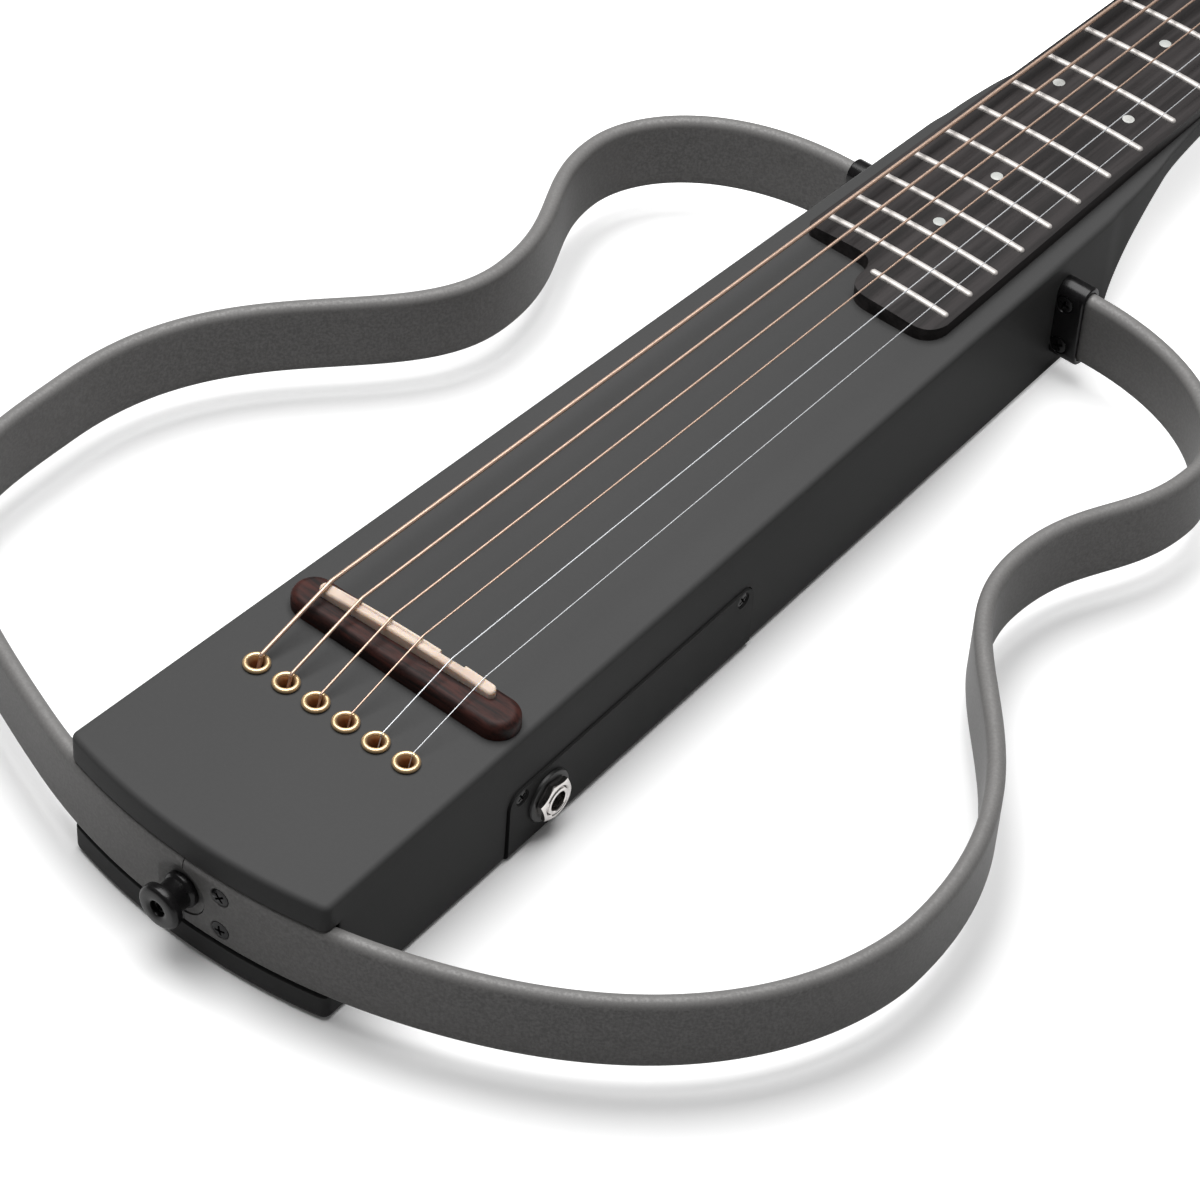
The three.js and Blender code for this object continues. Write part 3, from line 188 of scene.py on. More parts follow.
# %% Satin body lacquer
def satin_lacquer(name, level, rough, shine):
    """Grey = the level times 0.86 to 1.12, by clouds and flecks. Roughness = rough - 0.08
    to rough + 0.08, by the clouds alone."""
    sheet = Sheet(name)
    cloud = sheet.noise(9.0, 4.0)
    fleck = sheet.noise(900.0, 2.0)
    share = cloud * 0.7 + fleck * 0.3
    sheet.wear(Base_Color=sheet.blend(share, tint(level * 0.86), tint(level * 1.12)),
               Roughness=rough - 0.08 + cloud * 0.16, Specular_IOR_Level=shine)
    sheet.relief(sheet.noise(1500.0, 2.0), 0.00003, 0.35)
    return sheet.material


body_finish = satin_lacquer("satin_black_lacquer", 0.055, 0.5, 0.06)
cover_finish = satin_lacquer("moulded_black_cover", 0.030, 0.46, 0.06)
print("lacquers:", body_finish.name, cover_finish.name)

# %% [markdown]
# The tubes have a grey metallic paint: dark binder with fine light flakes. Two noises mix
# the greys, one as fine as the flakes and one as soft as the spray's own clouds.

# %% Grey metallic paint of the tubes
def metallic_paint(name, dark, light, rough):
    """Grey between dark and light by flakes and clouds. The flakes are a little metallic,
    and the clouds add up to 0.08 to the roughness."""
    sheet = Sheet(name)
    flakes = sheet.step(sheet.noise(1100.0, 3.0, 0.7), 0.35, 0.68)
    clouds = sheet.noise(60.0, 3.0)
    share = flakes * 0.55 + clouds * 0.45
    sheet.wear(Base_Color=sheet.blend(share, tint(dark, 0.02), tint(light, 0.02)),
               Metallic=flakes * 0.2, Roughness=rough + clouds * 0.08,
               Specular_IOR_Level=0.12)
    sheet.relief(sheet.noise(1400.0, 3.0), 0.00003, 0.25)
    return sheet.material


tube_finish = metallic_paint("grey_metallic_paint", 0.142, 0.198, 0.40)
print("paint:", tube_finish.name)

# %% [markdown]
# Sockets, screws, strap button and tuners are black plated metal: a dark colour, a tight
# gloss, and a worn lighter tone where the fine noise peaks. The same function makes the
# bright metals, the matt washer and the green lacquer of the preamp's board.

# %% Black plating and bright metals
def plated(name, colour, rough, metallic, peel=0.00001, shine=0.5):
    """The worn tone is the colour times 1.12 plus 0.002. Peel is the relief's depth in
    metres."""
    sheet = Sheet(name)
    spots = sheet.step(sheet.noise(700.0, 4.0, 0.6), 0.3, 0.75)
    worn = tuple(min(1.0, c * 1.12 + 0.002) for c in colour[:3]) + (1.0,)
    sheet.wear(Base_Color=sheet.blend(spots, colour, worn), Metallic=metallic,
               Roughness=rough + spots * 0.03, Specular_IOR_Level=shine)
    sheet.relief(sheet.noise(2500.0, 2.0), peel, 0.3)
    return sheet.material


black_plate = plated("black_plated_metal", (0.0055, 0.0052, 0.0055, 1.0), 0.24, 0.0,
                     shine=0.24)
nickel_plate = plated("bright_nickel", (0.72, 0.69, 0.67, 1.0), 0.16, 1.0, 0.000004)
fret_metal = plated("fret_metal", (0.50, 0.475, 0.455, 1.0), 0.46, 0.35, 0.000001)
plain_wire = plated("plain_steel_wire", (0.60, 0.61, 0.63, 1.0), 0.40, 0.6, 0.000002)
black_rubber = plated("matt_black_washer", (0.008, 0.008, 0.008, 1.0), 0.42, 0.0)
circuit_green = plated("green_circuit_board", (0.012, 0.085, 0.03, 1.0), 0.35, 0.0)
print("platings made")

# %% [markdown]
# The ferrules are pale gold on their rims. Down in their funnels the colour turns brown by height
# alone: painted shade that stands for the shadow inside the funnel.

# %% Gold of the ferrules
def ferrule_gold_painted_shade(top, deep):
    """Pale gold above one height and brown below another, both in metres. The brown is painted
    shade inside the funnel.
    """
    sheet = Sheet("pale_gold_with_painted_funnel_shade")
    # Painted shade: the colour goes from pale gold to brown by height, darker deeper in the
    # funnel.
    depth = sheet.step(sheet.axis("Z"), deep, top)
    stain = sheet.noise(900.0, 3.0)
    share = depth * 0.9 + stain * 0.1
    sheet.wear(Base_Color=sheet.blend(share, (0.32, 0.135, 0.055, 1.0), (0.68, 0.49, 0.28, 1.0)),
               Metallic=0.75, Roughness=0.32)
    sheet.relief(stain, 0.000002, 0.2)
    return sheet.material


gold_plate = ferrule_gold_painted_shade(top=0.0475, deep=0.0455)
print("gold:", gold_plate.name)

# %% [markdown]
# A wound string is a steel core under a close spiral of thin wire. The spiral is far finer than a
# pixel, so it is no shape of its own: a sine wave along the string bands the colour, the gloss and
# a shallow relief. The darker colour in the wave's troughs is painted shade in the grooves between
# the turns.

# %% Wound wire
def wound_wire(name, colour, dark, pitch):
    """Ridge = half of 1 + the sine of the distance along the wire, one wave to a pitch."""
    sheet = Sheet(name)
    field = sheet.add("ShaderNodeAttribute", {"attribute_name": "along"})
    along = Value(sheet, field.outputs["Fac"])
    ridge = sheet.math("SINE", along * (2 * math.pi / pitch)) * 0.5 + 0.5
    # Painted shade: the colour is darker in the troughs, the grooves between the turns.
    sheet.wear(Base_Color=sheet.blend(ridge, dark, colour), Metallic=0.7,
               Roughness=0.42 - ridge * 0.06)
    sheet.relief(ridge, 0.00003, 0.4)
    return sheet.material


wound_finish = wound_wire("bronze_wound_wire", (0.68, 0.51, 0.41, 1.0),
                          (0.44, 0.28, 0.20, 1.0), pitch=0.0004)
print("wound wire:", wound_finish.name)

# %% [markdown]
# Wood is drawn from stretched noise. On the fingerboard the grain runs along the neck, so
# the noise is squeezed across it; on the bridge it runs along the bridge.

# %% Woods
def wood(name, stretch, dark, light, streak, rough, fine=1.0):
    """Grain = noise on a place scaled far less along the grain than across it. It blends
    dark and light, and where a second noise is high, 0.6 of the streak colour goes over."""
    sheet = Sheet(name)
    along = sheet.stretched(*stretch)
    broad = sheet.noise(1.0, 5.0, 0.62, along)
    pores = sheet.noise(7.0 * fine, 3.0, 0.6, along)
    share = sheet.step(broad, 0.34, 0.68)
    base = sheet.blend(share, dark, light)
    veins = sheet.step(sheet.noise(2.2, 4.0, 0.55, along), 0.55, 0.72)
    base = sheet.blend(veins * 0.6, base, streak)
    sheet.wear(Base_Color=base, Roughness=rough + pores * 0.14, Specular_IOR_Level=0.22)
    sheet.relief(pores, 0.00008, 0.35)
    return sheet.material


board_wood = wood("charcoal_board_wood", (240.0, 9.0, 240.0), (0.011, 0.0095, 0.0095, 1.0),
                  (0.034, 0.030, 0.030, 1.0), (0.008, 0.007, 0.007, 1.0), 0.44)
bridge_wood = wood("dark_reddish_bridge_wood", (60.0, 420.0, 420.0), (0.007, 0.003, 0.0027, 1.0),
                   (0.046, 0.012, 0.0085, 1.0), (0.004, 0.0023, 0.002, 1.0), 0.50, 1.4)
print("woods:", board_wood.name, bridge_wood.name)

# %% [markdown]
# Saddle and nut are bone: nearly plain, a little warmer in places, with a soft polish and
# light that goes a short way in. The dots are pearl, greyer and glossier.

# %% Bone and pearl
def bone(name, pale, warm, rough, glow):
    """Pale to warm by soft clouds. Glow is the share of light that goes under the surface."""
    sheet = Sheet(name)
    cloud = sheet.step(sheet.noise(120.0, 4.0), 0.3, 0.75)
    sheet.wear(Base_Color=sheet.blend(cloud, pale, warm), Roughness=rough + cloud * 0.1,
               Subsurface_Weight=glow, Subsurface_Radius=(0.003, 0.002, 0.001),
               Subsurface_Scale=1.0, Specular_IOR_Level=0.3)
    sheet.relief(sheet.noise(900.0, 2.0), 0.00002, 0.3)
    return sheet.material


saddle_bone = bone("cream_bone", (0.61, 0.50, 0.42, 1.0), (0.54, 0.42, 0.345, 1.0), 0.40, 0.5)
dot_pearl = bone("pale_pearl", (0.50, 0.50, 0.48, 1.0), (0.36, 0.38, 0.37, 1.0), 0.3, 0.0)
print("bone and pearl made")

# %% [markdown]
# Every new piece is a surface on a grid: `P[i, j]` is the point of row i and column j. The
# grid can close on itself along either side, and its open ends can be capped by one face.

# %% Grid surfaces
MM = 0.001


def link_mesh(name, points, faces, finish, smooth=35.0):
    """A mesh object at the origin, from points in millimetres, smooth but for its sharp edges."""
    mesh = bpy.data.meshes.new(name)
    mesh.from_pydata((np.asarray(points, float) * MM).tolist(), [], faces)
    mesh.validate()
    work = bmesh.new()
    work.from_mesh(mesh)
    bmesh.ops.remove_doubles(work, verts=work.verts, dist=0.000002)
    bmesh.ops.recalc_face_normals(work, faces=work.faces)
    work.to_mesh(mesh)
    work.free()
    mesh.shade_smooth()
    mesh.set_sharp_from_angle(angle=math.radians(smooth))
    piece = bpy.data.objects.new(name, mesh)
    bpy.context.collection.objects.link(piece)
    mesh.materials.append(finish)
    return piece


def grid_faces(rows, columns, close_rows, close_columns, start=0):
    """Four-sided faces between neighbouring rows and columns, as an array of point numbers."""
    i = np.arange(rows if close_rows else rows - 1)
    j = np.arange(columns if close_columns else columns - 1)
    i, j = np.meshgrid(i, j, indexing="ij")
    ahead, beside = (i + 1) % rows, (j + 1) % columns
    quads = np.stack([i * columns + j, ahead * columns + j,
                      ahead * columns + beside, i * columns + beside], -1)
    return quads.reshape(-1, 4) + start


def joined(name, finish, grids, smooth=35.0, close_rows=False):
    """Several grids as one object. Each closes round its columns, and its two ends are
    capped unless the rows close on themselves."""
    points, faces, start = [], [], 0
    for P in grids:
        rows, columns = P.shape[:2]
        faces += grid_faces(rows, columns, close_rows, True, start).tolist()
        if not close_rows:
            for first in (start, start + (rows - 1) * columns):
                faces.append(list(range(first, first + columns)))
        points.append(P.reshape(-1, 3))
        start += rows * columns
    return link_mesh(name, np.vstack(points), faces, finish, smooth)


def grid_piece(name, P, finish, close_rows=False, smooth=35.0):
    """One grid of points made a closed piece."""
    return joined(name, finish, [P], smooth, close_rows)


def arc(radius, start, end, steps):
    """Points of an arc about zero, from one angle in degrees to another."""
    turn = np.radians(np.linspace(start, end, steps + 1))
    return np.stack([radius * np.cos(turn), radius * np.sin(turn)], -1)


def quadratic(a, b, c, steps=12):
    """Points of a quadratic curve from a to c, drawn towards b, without its first point."""
    t = np.linspace(0, 1, steps + 1)[1:, None]
    return (1 - t) ** 2 * np.array(a) + 2 * t * (1 - t) * np.array(b) + t ** 2 * np.array(c)


def bezier(a, b, c, d, steps):
    """Points of a cubic curve from a to d, drawn towards b and c."""
    t = np.linspace(0, 1, steps + 1)[:, None]
    a, b, c, d = (np.asarray(p, float) for p in (a, b, c, d))
    return (1 - t) ** 3 * a + 3 * (1 - t) ** 2 * t * b + 3 * (1 - t) * t * t * c + t ** 3 * d


def stacked(rings):
    """Outlines of (x, y) points, each at its own height z, as the rows of one grid."""
    return np.array([np.column_stack([ring, np.full(len(ring), z)]) for ring, z in rings])


def turned(profile, steps=48):
    """A profile of (radius, height) rows turned once about Z: x = r cos, y = r sin."""
    profile = np.asarray(profile, float)
    turn = np.linspace(0, 2 * math.pi, steps, endpoint=False)
    r, h = profile[:, :1], profile[:, 1:]
    return np.stack([r * np.cos(turn), r * np.sin(turn), h + 0 * turn], -1)


def moved(P, matrix):
    """Every point of a grid through a 4 by 4 matrix."""
    m = np.array(matrix, float)
    return P @ m[:3, :3].T + m[:3, 3]


def turned_piece(name, profile, finish, matrix, steps=48, smooth=35.0):
    """A turned piece that stands where the matrix says. The profile starts and ends on
    the axis, or closes on itself."""
    profile = np.asarray(profile, float)
    closed = bool(np.allclose(profile[0], profile[-1]))
    P = turned(profile[:-1] if closed else profile, steps)
    return grid_piece(name, moved(P, matrix), finish, closed, smooth)


print("grid helpers are ready")

# %% [markdown]
# Sizes shared by the pieces, in millimetres. The back lies on z = 0 and the strings run
# along Y, with y = 0 under the saddle. CROWN is the radius of the fingerboard's top, MID
# the height of the tubes' middle, FRAME_R the radius of their outer face at the tail, and
# GAP the usual clearance. The body narrows steadily towards the shoulder, and so does the
# fingerboard towards the nut. Gauges are the strings' diameters.

# %% Sizes
SCALE = 650.0
DEPTH = 46.5
BOARD_TOP = DEPTH + 5.5
CROWN = 400.0
MID = DEPTH / 2
TAIL_Y = -93.0
TAIL_R = 204.0
TAIL_CENTRE = TAIL_Y + TAIL_R
FRAME_R = TAIL_R + 0.5
HEEL_START, HEEL_END = 295.0, 395.0
BODY_WIDE, BODY_NARROW = 45.6, 36.4
BOARD_WIDE, BOARD_NARROW = 35.6, 20.8
NUT_END = SCALE + 5.0
GAP = 0.3
STRINGS = ("low_e", "a", "d", "g", "b", "high_e")
GAUGES = (1.35, 1.07, 0.81, 0.61, 0.41, 0.30)
FERRULE_Y, FERRULE_PITCH = -32.8, 11.3
SADDLE_PITCH, NUT_PITCH = 11.35, 7.2


def body_half(y):
    """Half the body's width: wide at y = 0, narrow where the heel starts, straight between."""
    return BODY_WIDE + (BODY_NARROW - BODY_WIDE) * y / HEEL_START


def board_half(y):
    """Half the fingerboard's width: wide at y = 0, narrow at the nut, straight between."""
    return BOARD_WIDE + (BOARD_NARROW - BOARD_WIDE) * y / SCALE


def crown_fall(x):
    """How far a top crowned to the radius CROWN has fallen at x."""
    return CROWN - np.sqrt(CROWN ** 2 - np.asarray(x, float) ** 2)


def fret_y(number):
    """Each fret shortens the string by the twelfth root of two."""
    return SCALE * 2 ** (-number / 12)


def across(string, pitch):
    """x of a string, from 0 for the low e to 5, with x = 0 halfway between the third and
    the fourth."""
    return (string - 2.5) * pitch


def spin(degrees, axis):
    """A turn about an axis."""
    return Matrix.Rotation(math.radians(degrees), 4, axis)


def at(x, y, z, turn_z=0.0, turn_y=0.0, turn_x=0.0):
    """A place in millimetres, with turns in degrees about X first, then Y, then Z."""
    return (Matrix.Translation((x, y, z)) @ spin(turn_z, "Z") @ spin(turn_y, "Y")
            @ spin(turn_x, "X"))


def at_ferrule(string, z=0.0):
    """The place of a string's ferrule on the body, at a height."""
    return at(across(string, FERRULE_PITCH), FERRULE_Y, z)


def shown(piece, node, body="instrument"):
    """The piece stands for a node of the solid model, whose own mesh is hidden, and moves with a
    body.
    """
    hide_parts(node)
    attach(piece, body)
    return piece


def carve(piece, tools, operation="DIFFERENCE", smooth=35.0):
    """Cuts the tools out of a piece, or joins them to it, and keeps the result as its mesh."""
    for tool in tools:
        cut = piece.modifiers.new("cut", "BOOLEAN")
        cut.object, cut.operation, cut.solver = tool, operation, "EXACT"
    bpy.context.view_layer.update()
    made = bpy.data.meshes.new_from_object(piece.evaluated_get(
        bpy.context.evaluated_depsgraph_get()))
    piece.modifiers.clear()
    piece.data = made
    made.shade_smooth()
    made.set_sharp_from_angle(angle=math.radians(smooth))
    for tool in tools:
        bpy.data.objects.remove(tool)
    return piece


def soften(piece, width, angle=38.0, segments=3):
    """A bevel along the sharp edges, in millimetres."""
    bevel = piece.modifiers.new("soft edges", "BEVEL")
    bevel.width = width * MM
    bevel.segments = segments
    bevel.limit_method = "ANGLE"
    bevel.angle_limit = math.radians(angle)
    bevel.harden_normals = True
    return piece


def rod_tool(radius, low, high, matrix, steps=48):
    """A round bar for cutting, from one height to another."""
    return turned_piece("rod_tool", [(0, low), (radius, low), (radius, high), (0, high)],
                        black_rubber, matrix, steps)


def prism(outline, low, high, matrix, finish=black_rubber, name="prism_tool"):
    """A straight prism on an outline of (x, y) points."""
    outline = np.asarray(outline, float)
    return grid_piece(name, moved(stacked([(outline, low), (outline, high)]), matrix), finish)


def rounded_box(x0, x1, y0, y1, radius, steps=8):
    """The outline of a rectangle with round corners."""
    corners = [(x1 - radius, y1 - radius, 0), (x0 + radius, y1 - radius, 90),
               (x0 + radius, y0 + radius, 180), (x1 - radius, y0 + radius, 270)]
    return np.vstack([arc(radius, turn, turn + 90, steps) + [x, y] for x, y, turn in corners])


print("fret 12 at", round(fret_y(12), 1), "mm; shoulder", round(2 * body_half(HEEL_START), 1),
      "mm wide")

# %% [markdown]
# The body is one surface in two grids that share a ring. The block carries its side profile
# round the plan outline. At the tail the side has a channel for the tubes: there each point
# slides towards the centre of the tail's arc until it meets the channel's floor, which
# leaves the long sides as they are.

# %% Body block
SHOULDER_CUT = 284.0
TOP_EDGE, BACK_EDGE, CORNER = 2.0, 1.8, 2.8
STRAIGHT_COLUMNS = 30
TUBE_TALL, TUBE_THICK = 27.0, 5.6
CHANNEL_TOP = MID + TUBE_TALL / 2 + GAP
CHANNEL_FOOT = MID - TUBE_TALL / 2 - 0.8
LIP = 0.7
FLOOR_R = FRAME_R - TUBE_THICK - GAP
TOP_ARC, BACK_ARC = arc(1.0, 90, 0, 6), arc(1.0, 0, -90, 20)
CHANNEL_Z = [CHANNEL_TOP + LIP, CHANNEL_TOP, CHANNEL_TOP, CHANNEL_FOOT, CHANNEL_FOOT,
             CHANNEL_FOOT - LIP]


def tail_outline(steps=10):
    """Half of the plan, from the middle of the tail to the shoulder on the treble side: the
    tail's arc, a corner drawn as a quadratic curve, and the tapering side."""
    side = body_half(TAIL_Y)
    turn = np.linspace(0, math.asin((side - CORNER) / TAIL_R), 30)
    tail = np.stack([TAIL_R * np.sin(turn), TAIL_CENTRE - TAIL_R * np.cos(turn)], -1)
    corner_y = TAIL_CENTRE - TAIL_R * math.cos(math.asin(side / TAIL_R))
    side_start, fine_end = corner_y + CORNER, corner_y + 26
    corner = quadratic(tail[-1], (side, corner_y), (body_half(side_start), side_start), steps)
    y = np.concatenate([np.linspace(side_start, fine_end, 16)[1:],
                        np.linspace(fine_end, SHOULDER_CUT, 40)[1:]])
    return np.vstack([tail, corner, np.stack([body_half(y), y], -1)])


def outward(plan):
    """Unit normals of an open plan line, to its right."""
    step = np.gradient(plan, axis=0)
    step /= np.linalg.norm(step, axis=1, keepdims=True)
    return np.stack([step[:, 1], -step[:, 0]], -1)


def body_block():
    """Rows down the side, as (inset, height, plan): the rounded top edge, the channel with
    its two floor rows slid in, the rounded back edge. The middle line of the top and of the
    back closes this half, and its mirror image is the other."""
    plan = tail_outline()
    normal = outward(plan)
    normal[0] = (0, -1)
    normal[-STRAIGHT_COLUMNS:] = (1, 0)
    reach = np.linalg.norm(plan - [0, TAIL_CENTRE], axis=1, keepdims=True)
    slid = [0, TAIL_CENTRE] + (plan - [0, TAIL_CENTRE]) * np.minimum(1, FLOOR_R / reach)
    rows = [(TOP_EDGE * (1 - c), DEPTH - TOP_EDGE * (1 - s), plan) for c, s in TOP_ARC]
    rows += [(0, z, slid if 1 < k < 4 else plan) for k, z in enumerate(CHANNEL_Z)]
    rows += [(BACK_EDGE * (1 - c), BACK_EDGE * (1 + s), plan) for c, s in BACK_ARC]
    side = stacked((spot - normal * inset, z) for inset, z, spot in rows)
    middle = side[[0, -1]] * [0, 1, 1]
    half = np.concatenate([middle[:1], side, middle[1:]])
    return np.concatenate([half[:, ::-1] * [-1, 1, 1], half[:, 1:]], axis=1)


block = body_block()
print("body block grid:", block.shape[:2])

# %% [markdown]
# From the shoulder on, the body turns into the neck. Both are one loft: the section keeps
# its flat top, while its width, depth and rounding slide from the body's to the neck's.
# Each row of the table holds a share of the heel's length and the three slides there, also
# as shares, and a smooth curve runs through the rows.

# %% Heel and neck
NECK_DEEP, NECK_THIN, NECK_EDGE = 18.0, 15.5, 0.6
FADE_START, END_RISE = 0.88, 1.3
BACK_FLAT, SIDE_FLAT = 0.4, 2.5
HEEL = np.array([
    [0, 0, 0, 0], [0.08, 0.11, 0.23, 0.26], [0.16, 0.16, 0.44, 0.49], [0.24, 0.24, 0.64, 0.62],
    [0.32, 0.35, 0.8, 0.74], [0.4, 0.52, 0.92, 0.8], [0.5, 0.67, 1, 0.81], [0.6, 0.79, 1, 0.82],
    [0.7, 0.88, 1, 0.84], [0.8, 0.95, 1, 0.87], [0.9, 0.99, 1, 0.93], [1, 1, 1, 1]])


def smooth_table(table, spots):
    """A cubic Hermite curve through the rows of a table, with slopes from the neighbours."""
    x, y = table[:, 0], table[:, 1:]
    slope = np.gradient(y, x, axis=0)
    slope[0] *= 0.3
    k = np.clip(np.searchsorted(x, spots, side="right") - 1, 0, len(x) - 2)
    span = (x[k + 1] - x[k])[:, None]
    t = (spots[:, None] - x[k][:, None]) / span
    return ((2 * t ** 3 - 3 * t ** 2 + 1) * y[k] + (t ** 3 - 2 * t ** 2 + t) * span * slope[k]
            + (3 * t ** 2 - 2 * t ** 3) * y[k + 1] + (t ** 3 - t ** 2) * span * slope[k + 1])


def neck_rings():
    """Rings of the loft. Quarter ellipses join the flat top, the sides and the back. Over
    the neck's last stretch, by its share squared, the rounding goes back to none and the
    back rises by END_RISE, so that the neck ends inside the headstock's blade."""
    share = np.linspace(0, 1, 60)
    wide, deep, rounding = np.clip(smooth_table(HEEL, share), 0, 1).T
    y = HEEL_START + share * (HEEL_END - HEEL_START)
    more = np.linspace(0, 1, 60)[1:]
    far = HEEL_END + more * (NUT_END - HEEL_END)
    half = body_half(y) + (board_half(y) - body_half(y)) * wide
    half = np.concatenate([[body_half(SHOULDER_CUT)], half, board_half(far)])
    last = np.clip((more - FADE_START) / (1 - FADE_START), 0, 1) ** 2
    depth = np.concatenate([[DEPTH], DEPTH + (NECK_DEEP - DEPTH) * deep,
                            NECK_DEEP + (NECK_THIN - NECK_DEEP) * more - END_RISE * last])
    edge = TOP_EDGE + (NECK_EDGE - TOP_EDGE) * np.concatenate([[0], rounding, 1 + 0 * more])
    rounding = np.concatenate([[0], rounding, 1 - last])
    y = np.concatenate([[SHOULDER_CUT], y, far])
    foot_x = BACK_EDGE + (half - BACK_FLAT - BACK_EDGE) * rounding
    foot_z = BACK_EDGE + (depth - SIDE_FLAT - BACK_EDGE) * rounding
    share_z = (np.array(CHANNEL_Z) - BACK_EDGE) / (DEPTH - TOP_EDGE - BACK_EDGE)
    low = DEPTH - depth + foot_z
    x = [0 * half] + [half - edge * (1 - c) for c, s in TOP_ARC] + [half] * len(CHANNEL_Z)
    x += [half - foot_x * (1 - c) for c, s in BACK_ARC] + [0 * half]
    z = [DEPTH + 0 * half] + [DEPTH - edge * (1 - s) for c, s in TOP_ARC]
    z += [low + (DEPTH - edge - low) * share for share in share_z]
    z += [low + foot_z * s for c, s in BACK_ARC] + [DEPTH - depth]
    x, z = np.array(x).T, np.array(z).T
    x = np.concatenate([x, -x[:, -2:0:-1]], axis=1)
    z = np.concatenate([z, z[:, -2:0:-1]], axis=1)
    return np.stack([x, np.broadcast_to(y[:, None], x.shape), z], -1)


loft = neck_rings()
faces = grid_faces(*block.shape[:2], False, False).tolist()
start = block.shape[0] * block.shape[1]
faces += grid_faces(*loft.shape[:2], False, True, start).tolist()
end = start + loft.shape[0] * loft.shape[1]
faces.append(list(range(end - loft.shape[1], end)))
body = link_mesh("body_shell", np.vstack([block.reshape(-1, 3), loft.reshape(-1, 3)]),
                 faces, body_finish, 40.0)
print("body and neck:", len(body.data.polygons), "faces")

# %% [markdown]
# The headstock is a flat blade that leans back by eight degrees, with a waist near the nut
# and a shallow point at its end. The cover's seat, the pockets of the strings' ball ends
# and the holes of the ferrules are then cut out of the body. The seams at the seat's two
# ends widen towards the back.

# %% Headstock blade, cover seat and string holes
HEAD_LEAN, HEAD_DROP, HEAD_THICK, HEAD_LONG = 8, 0.6, 13.5, 172.0
HEAD_WAIST, HEAD_TIP, HEAD_EDGE = 8, 9, 1.2
HEAD_WIDE, HEAD_WIDE_AT, HEAD_NARROW = 36.5, 40, 33.0
HEAD = at(0, NUT_END, DEPTH - HEAD_DROP) @ spin(-HEAD_LEAN, "X")
SIDE_X = 46.0
SIDE = (Matrix.Translation((SIDE_X, 0, 0))
        @ Matrix.Rotation(math.atan((BODY_WIDE - BODY_NARROW) / HEEL_START), 4, "Z"))
UPRIGHT = SIDE @ Matrix(((0, 0, 1, 0), (1, 0, 0, 0), (0, 1, 0, 0), (0, 0, 0, 1)))
COVER_Y, COVER_TALL, COVER_REACH, COVER_CORNER = (-8.6, 106.5), 25.7, 40.0, 5.0
SEAT_DEPTH, SEAT_ROOM, SEAM_FLARE = 2.3, 1.0, 1.3
BALL_POCKET, FERRULE_HOLE = (3.2, -3, 9), (3.3, 34, 50)


def head_half(along):
    """Half the blade's width from its widest place on, where it narrows steadily."""
    return HEAD_WIDE + ((HEAD_NARROW - HEAD_WIDE) * (along - HEAD_WIDE_AT)
                        / (HEAD_LONG - HEAD_WIDE_AT))


def head_outline():
    """The blade's plan: the neck's width at its waist, a flare, tapering sides, a point."""
    root = board_half(NUT_END)
    middle = HEAD_WAIST + 0.45 * (HEAD_WIDE_AT - HEAD_WAIST)
    side_end = HEAD_LONG - HEAD_TIP
    half = np.vstack([
        [[root, -1.0]],
        bezier((root, HEAD_WAIST), (root, middle), (HEAD_WIDE, middle),
               (HEAD_WIDE, HEAD_WIDE_AT), 18),
        bezier((HEAD_NARROW, side_end), (20, side_end), (10, HEAD_LONG), (0, HEAD_LONG), 16)])
    return np.vstack([half, (half * [-1, 1])[::-1][1:]])


def slab(outline, low, high, top_edge, foot_edge, steps=6):
    """Rings of a plate on an outline, drawn in at both faces by a quarter circle."""
    ahead = np.roll(outline, -1, axis=0) - outline
    ahead /= np.linalg.norm(ahead, axis=1, keepdims=True) + 1e-12
    behind = np.roll(ahead, 1, axis=0)
    n = np.stack([ahead[:, 1] + behind[:, 1], -ahead[:, 0] - behind[:, 0]], -1)
    n /= np.maximum((n ** 2).sum(1, keepdims=True), 0.8) / 2
    turn = (outline[:, 0] * np.roll(outline[:, 1], -1)).sum()
    n *= np.sign(turn - (outline[:, 1] * np.roll(outline[:, 0], -1)).sum())
    rows = [(foot_edge * (1 - c), low + foot_edge * (1 + s)) for c, s in arc(1, -90, 0, steps)]
    rows += [(top_edge * (1 - c), high - top_edge * (1 - s)) for c, s in arc(1, 0, 90, steps)]
    return stacked((outline - n * inset, z) for inset, z in rows)


def cover_seat():
    """The cover's outline on the side with a gap round it. The gap grows by SEAM_FLARE at
    both ends, steadily from the top down to the back, and the foot runs out past the back."""
    seat = rounded_box(COVER_Y[0] - GAP, COVER_Y[1] + GAP, 0, COVER_TALL + GAP / 2,
                       COVER_CORNER + GAP / 2)
    end = np.sign(seat[:, 0] - sum(COVER_Y) / 2)
    seat[:, 0] += end * SEAM_FLARE * np.clip(1 - seat[:, 1] / COVER_TALL, 0, 1)
    seat[seat[:, 1] < COVER_CORNER + 1, 1] -= 30
    return seat


blade = slab(head_outline(), -HEAD_THICK, 0.0, HEAD_EDGE, HEAD_EDGE)
blade = grid_piece("blade_tool", moved(blade, HEAD), body_finish)
carve(body, [blade], "UNION", 40.0)
under = rounded_box(-COVER_REACH - GAP, 6, COVER_Y[0] - SEAT_ROOM, COVER_Y[1] + SEAT_ROOM, 1.5)
tools = [prism(cover_seat(), -SEAT_DEPTH, 4, UPRIGHT), prism(under, -4, SEAT_DEPTH, SIDE)]
for string in range(6):
    tools += [rod_tool(*hole, at_ferrule(string), 32) for hole in (BALL_POCKET, FERRULE_HOLE)]
carve(body, tools, smooth=40.0)
shown(body, "body_and_neck")
print("body with its cuts:", len(body.data.polygons), "faces")

# %% [markdown]
# Each tube follows a plan line: straight out of the shoulder socket, then cubic curves over
# the upper bout, the waist and the lower bout, and the tail's own arc. The tables hold the
# knots in millimetres and the curves' handles as shares of each stretch. The tubes meet at
# the tail. There a round tongue of the bass tube lies in a recess of the treble tube, and
# the strap button sits in a dish in that tongue.

